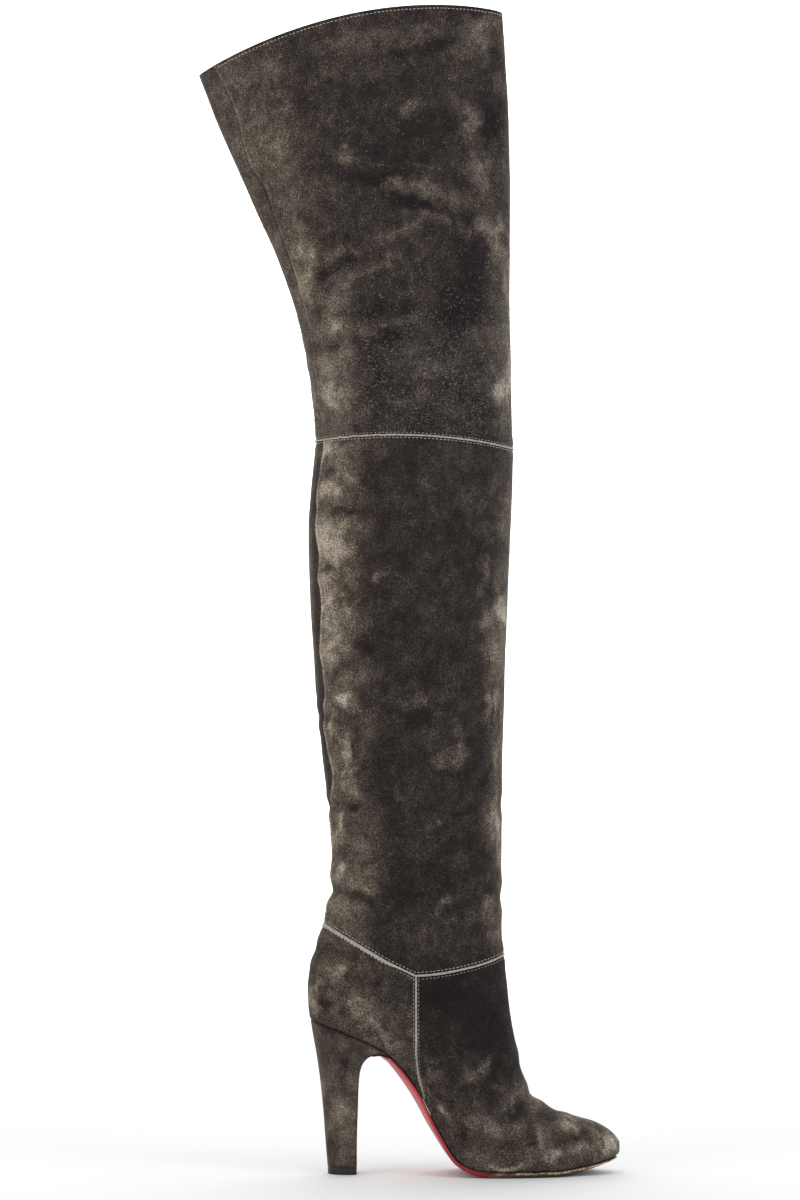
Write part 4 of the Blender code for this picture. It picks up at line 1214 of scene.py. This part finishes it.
def build_outsole(look):
    share = (1 - np.cos(np.linspace(SOLE_START_TURN, math.pi, SOLE_STATIONS))) / 2
    share = (share - share[0]) / (share[-1] - share[0])
    stations = SOLE_END_X + (TOE_X - SOLE_TOE_GAP - SOLE_END_X) * share
    sections, depths = zip(*(sole_section(x) for x in stations))
    faces = capped_tube(np.array(sections))
    add_piece("outsole_leather", sections, faces, look, ["outsole"], depths, SOLE_SHARP_DEG)


# Materials


def colour(red, green, blue):
    """A colour given as on a screen, from 0 to 255, turned by the sRGB curve into linear values."""
    values = np.array([red, green, blue]) / 255
    linear = np.where(values <= 0.04045, values / 12.92, ((values + 0.055) / 1.055) ** 2.4)
    return (*linear.tolist(), 1.0)


def wire(tree, kind, sockets, **settings):
    """A new node. Each socket takes a plain value or another node's output."""
    node = tree.nodes.new(kind)
    for name, value in settings.items():
        setattr(node, name, value)
    for key, value in sockets.items():
        if isinstance(value, bpy.types.NodeSocket):
            tree.links.new(value, node.inputs[key])
        else:
            node.inputs[key].default_value = value
    return node


def start_material(name, **sockets):
    made = bpy.data.materials.new(name)
    made.use_nodes = True
    shader = made.node_tree.nodes["Principled BSDF"]
    for key, value in sockets.items():
        shader.inputs[key.replace("_", " ")].default_value = value
    return made, made.node_tree, shader


def painted(tree):
    """The value that the piece's points carry."""
    return wire(tree, "ShaderNodeAttribute", {}, attribute_name="nap").outputs["Fac"]


def object_place(tree):
    return wire(tree, "ShaderNodeTexCoord", {}).outputs["Object"]


def noise(tree, scale, detail, roughness=0.55, stretch=(1, 1, 1), swirl=0.0):
    """Noise in object space: scale is lumps to the metre, before the stretch."""
    placed = wire(tree, "ShaderNodeMapping", {"Vector": object_place(tree), "Scale": stretch})
    sockets = {"Vector": placed.outputs["Vector"], "Scale": scale, "Detail": detail}
    sockets |= {"Roughness": roughness, "Distortion": swirl}
    return wire(tree, "ShaderNodeTexNoise", sockets).outputs["Fac"]


def maths(tree, operation, *values):
    return wire(tree, "ShaderNodeMath", dict(enumerate(values)), operation=operation).outputs["Value"]


def rescale(tree, value, low, high, to_low=0.0, to_high=1.0, **settings):
    """The run from low to high moved to another run."""
    sockets = {"Value": value, "From Min": low, "From Max": high, "To Min": to_low, "To Max": to_high}
    return wire(tree, "ShaderNodeMapRange", sockets, **settings).outputs["Result"]


def mix(tree, share, first, second):
    sockets = {"Factor": share, MIX_FIRST: first, MIX_SECOND: second}
    return wire(tree, "ShaderNodeMix", sockets, data_type="RGBA").outputs[MIX_RESULT]


def ramp(tree, value, stops):
    node = wire(tree, "ShaderNodeValToRGB", {"Fac": value})
    elements = node.color_ramp.elements
    while len(elements) < len(stops):
        elements.new(0.5)
    for element, (position, shade) in zip(elements, stops):
        element.position = position
        element.color = colour(*shade)
    return node.outputs["Color"]


def paint(tree, shader, value, stops):
    tree.links.new(ramp(tree, value, stops), shader.inputs["Base Color"])


def bump(tree, shader, height, strength, distance):
    sockets = {"Height": height, "Strength": strength, "Distance": distance}
    tree.links.new(wire(tree, "ShaderNodeBump", sockets).outputs["Normal"], shader.inputs["Normal"])


def spread(tree, value, amount):
    """Noise turned from 0..1 into a swing of that size either way."""
    return maths(tree, "MULTIPLY_ADD", value, 2 * amount, -amount)


def suede_look(name, grain_swing):
    """Short pile, light or dark as it is brushed and as the painted light and shade in the points' values
    say, with mottle, grain and pale flecks of fibre.
    """
    made, tree, shader = start_material(
        name,
        Roughness=0.92,
        Specular_IOR_Level=0.12,
        Sheen_Weight=0.15,
        Sheen_Roughness=0.4,
        Sheen_Tint=colour(190, 180, 165),
    )
    nap = painted(tree)
    mottle = noise(tree, 110, 5, 0.54, stretch=(1.0, 1.0, 0.8), swirl=0.9)
    grain = noise(tree, 1250, 3, 0.7)
    fibre = noise(tree, 900, 1, 0.5, stretch=(1.0, 1.0, 0.45))
    fleck = rescale(tree, fibre, 0.68, 0.80, to_high=0.22)
    swing = maths(tree, "ADD", spread(tree, mottle, 0.30), spread(tree, grain, grain_swing))
    depth = maths(tree, "MULTIPLY_ADD", nap, 0.9, 0.6)
    tone = maths(tree, "ADD", maths(tree, "MULTIPLY_ADD", swing, depth, nap), fleck)
    stops = [
        (0.00, (24, 21, 22)),
        (0.22, (43, 37, 36)),
        (0.42, (71, 63, 57)),
        (0.62, (106, 96, 84)),
        (0.82, (141, 132, 119)),
        (1.00, (181, 173, 160)),
    ]
    paint(tree, shader, tone, stops)
    bump(tree, shader, maths(tree, "ADD", grain, fibre), strength=0.35, distance=0.0005)
    return made


def piping_look():
    made, tree, shader = start_material(
        "raw_edge_cord", Roughness=0.9, Specular_IOR_Level=0.15, Sheen_Weight=0.15, Sheen_Roughness=0.5
    )
    fibre = noise(tree, 1500, 3, 0.7, stretch=(0.5, 0.5, 1.0))
    # Lower values darken the cord with painted shade on its sides
    tone = maths(tree, "ADD", fibre, maths(tree, "MULTIPLY_ADD", painted(tree), 0.6, -0.6))
    stops = [(0.0, (46, 42, 40)), (0.25, (112, 106, 98)), (0.5, (158, 152, 143)), (0.75, (196, 191, 182))]
    paint(tree, shader, tone, stops)
    bump(tree, shader, fibre, strength=0.5, distance=0.0003)
    return made


def speckled_look(name, roughness, specular, lumps, stops, dents=None):
    """A look coloured by one noise, which also dents it where a bump's strength and depth are given."""
    made, tree, shader = start_material(name, Roughness=roughness, Specular_IOR_Level=specular)
    speckle = noise(tree, *lumps)
    paint(tree, shader, speckle, stops)
    if dents:
        bump(tree, shader, speckle, *dents)
    return made


def thread_look():
    stops = [(0.3, (138, 132, 122)), (0.7, (196, 190, 180))]
    return speckled_look("pale_thread", 0.6, 0.3, (2600, 2), stops, (0.4, 0.0001))


def hair_look():
    stops = [(0.3, (84, 78, 74)), (0.5, (128, 122, 116)), (0.7, (178, 173, 167))]
    return speckled_look("nap_hair", 0.8, 0.2, (420, 1), stops)


def rubber_look():
    stops = [(0.35, (26, 26, 27)), (0.6, (44, 43, 43)), (0.8, (84, 80, 76))]
    return speckled_look("black_rubber", 0.6, 0.3, (420, 4, 0.65), stops, (0.25, 0.0002))


def lining_look():
    made, tree, shader = start_material("lining_grain", Roughness=0.55, Specular_IOR_Level=0.35)
    pores = noise(tree, 1100, 4, 0.6)
    tone = maths(tree, "ADD", spread(tree, pores, 0.12), noise(tree, 60, 3))
    paint(tree, shader, tone, [(0.25, (70, 55, 44)), (0.5, (98, 79, 64)), (0.75, (122, 101, 83))])
    bump(tree, shader, pores, strength=0.2, distance=0.0002)
    return made


def sole_look():
    """Red lacquer with a black line along the top edge, darkened forward by painted shadow and worn through
    round the tread.
    """
    made, tree, shader = start_material(
        "red_sole", Specular_IOR_Level=0.25, Coat_Weight=0.04, Coat_Roughness=0.25
    )
    below = painted(tree)
    along = wire(tree, "ShaderNodeSeparateXYZ", {"Vector": object_place(tree)}).outputs["X"]
    clouds = noise(tree, 55, 3)
    fresh = ramp(tree, clouds, [(0.3, (176, 48, 55)), (0.7, (202, 62, 69))])
    shadowed_red = ramp(tree, clouds, [(0.3, (70, 18, 22)), (0.7, (112, 26, 32))])
    # Painted shadow: the red grows darker from the waist towards the tread, near the floor
    lacquer = mix(tree, rescale(tree, along, SOLE_SHADOW_START_X, TREAD_START_X), fresh, shadowed_red)
    forward = rescale(tree, along, TREAD_START_X, TREAD_FULL_X)
    flecks = noise(tree, 260, 4, 0.7, stretch=(0.5, 1.0, 1.0))
    bare = [(0.38, (52, 42, 34)), (0.48, (122, 100, 72)), (0.55, (196, 174, 136)), (0.62, (96, 44, 38))]
    wear = maths(tree, "MULTIPLY", forward, maths(tree, "GREATER_THAN", below, SOLE_BLACK_LINE))
    worn = mix(tree, wear, lacquer, ramp(tree, flecks, bare))
    scuffed = maths(tree, "MULTIPLY", forward, maths(tree, "GREATER_THAN", below, SOLE_DIRT_LINE))
    dirty = mix(tree, scuffed, worn, colour(46, 40, 34))
    line = maths(tree, "LESS_THAN", below, SOLE_BLACK_LINE)
    tree.links.new(mix(tree, line, dirty, colour(22, 20, 20)), shader.inputs["Base Color"])
    roughness = rescale(tree, wear, 0.0, 1.0, to_low=0.4, to_high=0.75)
    tree.links.new(roughness, shader.inputs["Roughness"])
    bump(tree, shader, flecks, strength=0.12, distance=0.0003)
    return made


# Studio


def aim(item, place, target):
    item.location = place
    item.rotation_euler = (target - Vector(place)).to_track_quat("-Z", "Y").to_euler()


def add_camera():
    turn = math.radians(CAMERA_AZIMUTH)
    place = CAMERA_AIM + CAMERA_DISTANCE * Vector((math.sin(turn), -math.cos(turn), 0))
    place.z = CAMERA_HEIGHT
    data = bpy.data.cameras.new("photo_camera")
    data.sensor_fit = "VERTICAL"
    data.sensor_height = SENSOR
    data.lens = SENSOR * (CAMERA_AIM - place).length / FRAME_HEIGHT
    camera = add_object("photo_camera", data)
    aim(camera, place, CAMERA_AIM)
    bpy.context.scene.camera = camera


def add_light(light):
    data = bpy.data.lights.new(light.name, "AREA")
    data.shape = "RECTANGLE"
    data.size, data.size_y = light.size
    data.energy = light.power
    data.color = light.tint
    aim(add_object(light.name, data), light.place, LIGHT_AIM)


def light_studio():
    scene = bpy.context.scene
    scene.view_settings.view_transform = "Standard"
    scene.world = bpy.data.worlds.new("studio")
    scene.world.use_nodes = True
    background = scene.world.node_tree.nodes["Background"]
    background.inputs["Color"].default_value = WHITE
    background.inputs["Strength"].default_value = WORLD_STRENGTH
    for light in LIGHTS:
        add_light(light)


def add_stage_sheet(name, corners, look):
    mesh = bpy.data.meshes.new(name)
    mesh.from_pydata(corners, [], [(0, 1, 2, 3)])
    mesh.materials.append(look)
    sheet = add_object(name, mesh)


def floor_look():
    """White paper, lit from below where it runs away from the boot."""
    made, tree, shader = start_material(
        "white_paper", Base_Color=FLOOR_WHITE, Roughness=0.8, Emission_Color=WHITE
    )
    away = wire(tree, "ShaderNodeVectorMath", {0: object_place(tree)}, operation="LENGTH").outputs["Value"]
    glow = rescale(
        tree, away, GLOW_START, GLOW_FULL, to_high=FLOOR_GLOW, interpolation_type="SMOOTHSTEP"
    )
    tree.links.new(glow, shader.inputs["Emission Strength"])
    return made


def wall_look():
    made, _, _ = start_material(
        "lit_wall", Base_Color=WALL_WHITE, Emission_Color=WHITE, Emission_Strength=WALL_GLOW
    )
    return made


def add_stage():
    """A white paper floor in front of an evenly lit white wall."""
    half, y, top = STAGE_HALF_WIDTH, WALL_Y, WALL_HEIGHT
    add_stage_sheet("floor", [(-half, -half, 0), (half, -half, 0), (half, y, 0), (-half, y, 0)], floor_look())
    add_stage_sheet("backdrop", [(-half, y, 0), (half, y, 0), (half, y, top), (-half, y, top)], wall_look())


# The boot

add_camera()
add_stage()
light_studio()

SUEDE, HEEL_SUEDE = suede_look("suede_nap", SUEDE_GRAIN), suede_look("heel_suede_nap", HEEL_GRAIN)
PIPING, THREAD, HAIR = piping_look(), thread_look(), hair_look()
LINING, RUBBER, RED_SOLE = lining_look(), rubber_look(), sole_look()

upper_skin = build_upper(SUEDE, LINING)
leg_skin = build_leg(SUEDE, LINING)
thigh_skin = build_thigh(SUEDE, LINING)
build_heel(HEEL_SUEDE)
build_heel_tip(RUBBER)
build_outsole(RED_SOLE)
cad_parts["insole"].data.materials[0] = LINING

build_piping_rings(PIPING)
build_side_piping(upper_skin, "outer", PIPING)
build_side_piping(upper_skin, "inner", PIPING)
build_stitches(upper_skin, leg_skin, thigh_skin, THREAD)
hair_share = HAIR_LEAST + ridges(thigh_skin.grid[..., 2], HAIR_BAND)
add_hairs("thigh_hairs", thigh_skin, hair_share, HAIR_COUNT, HAIR, seed=5)
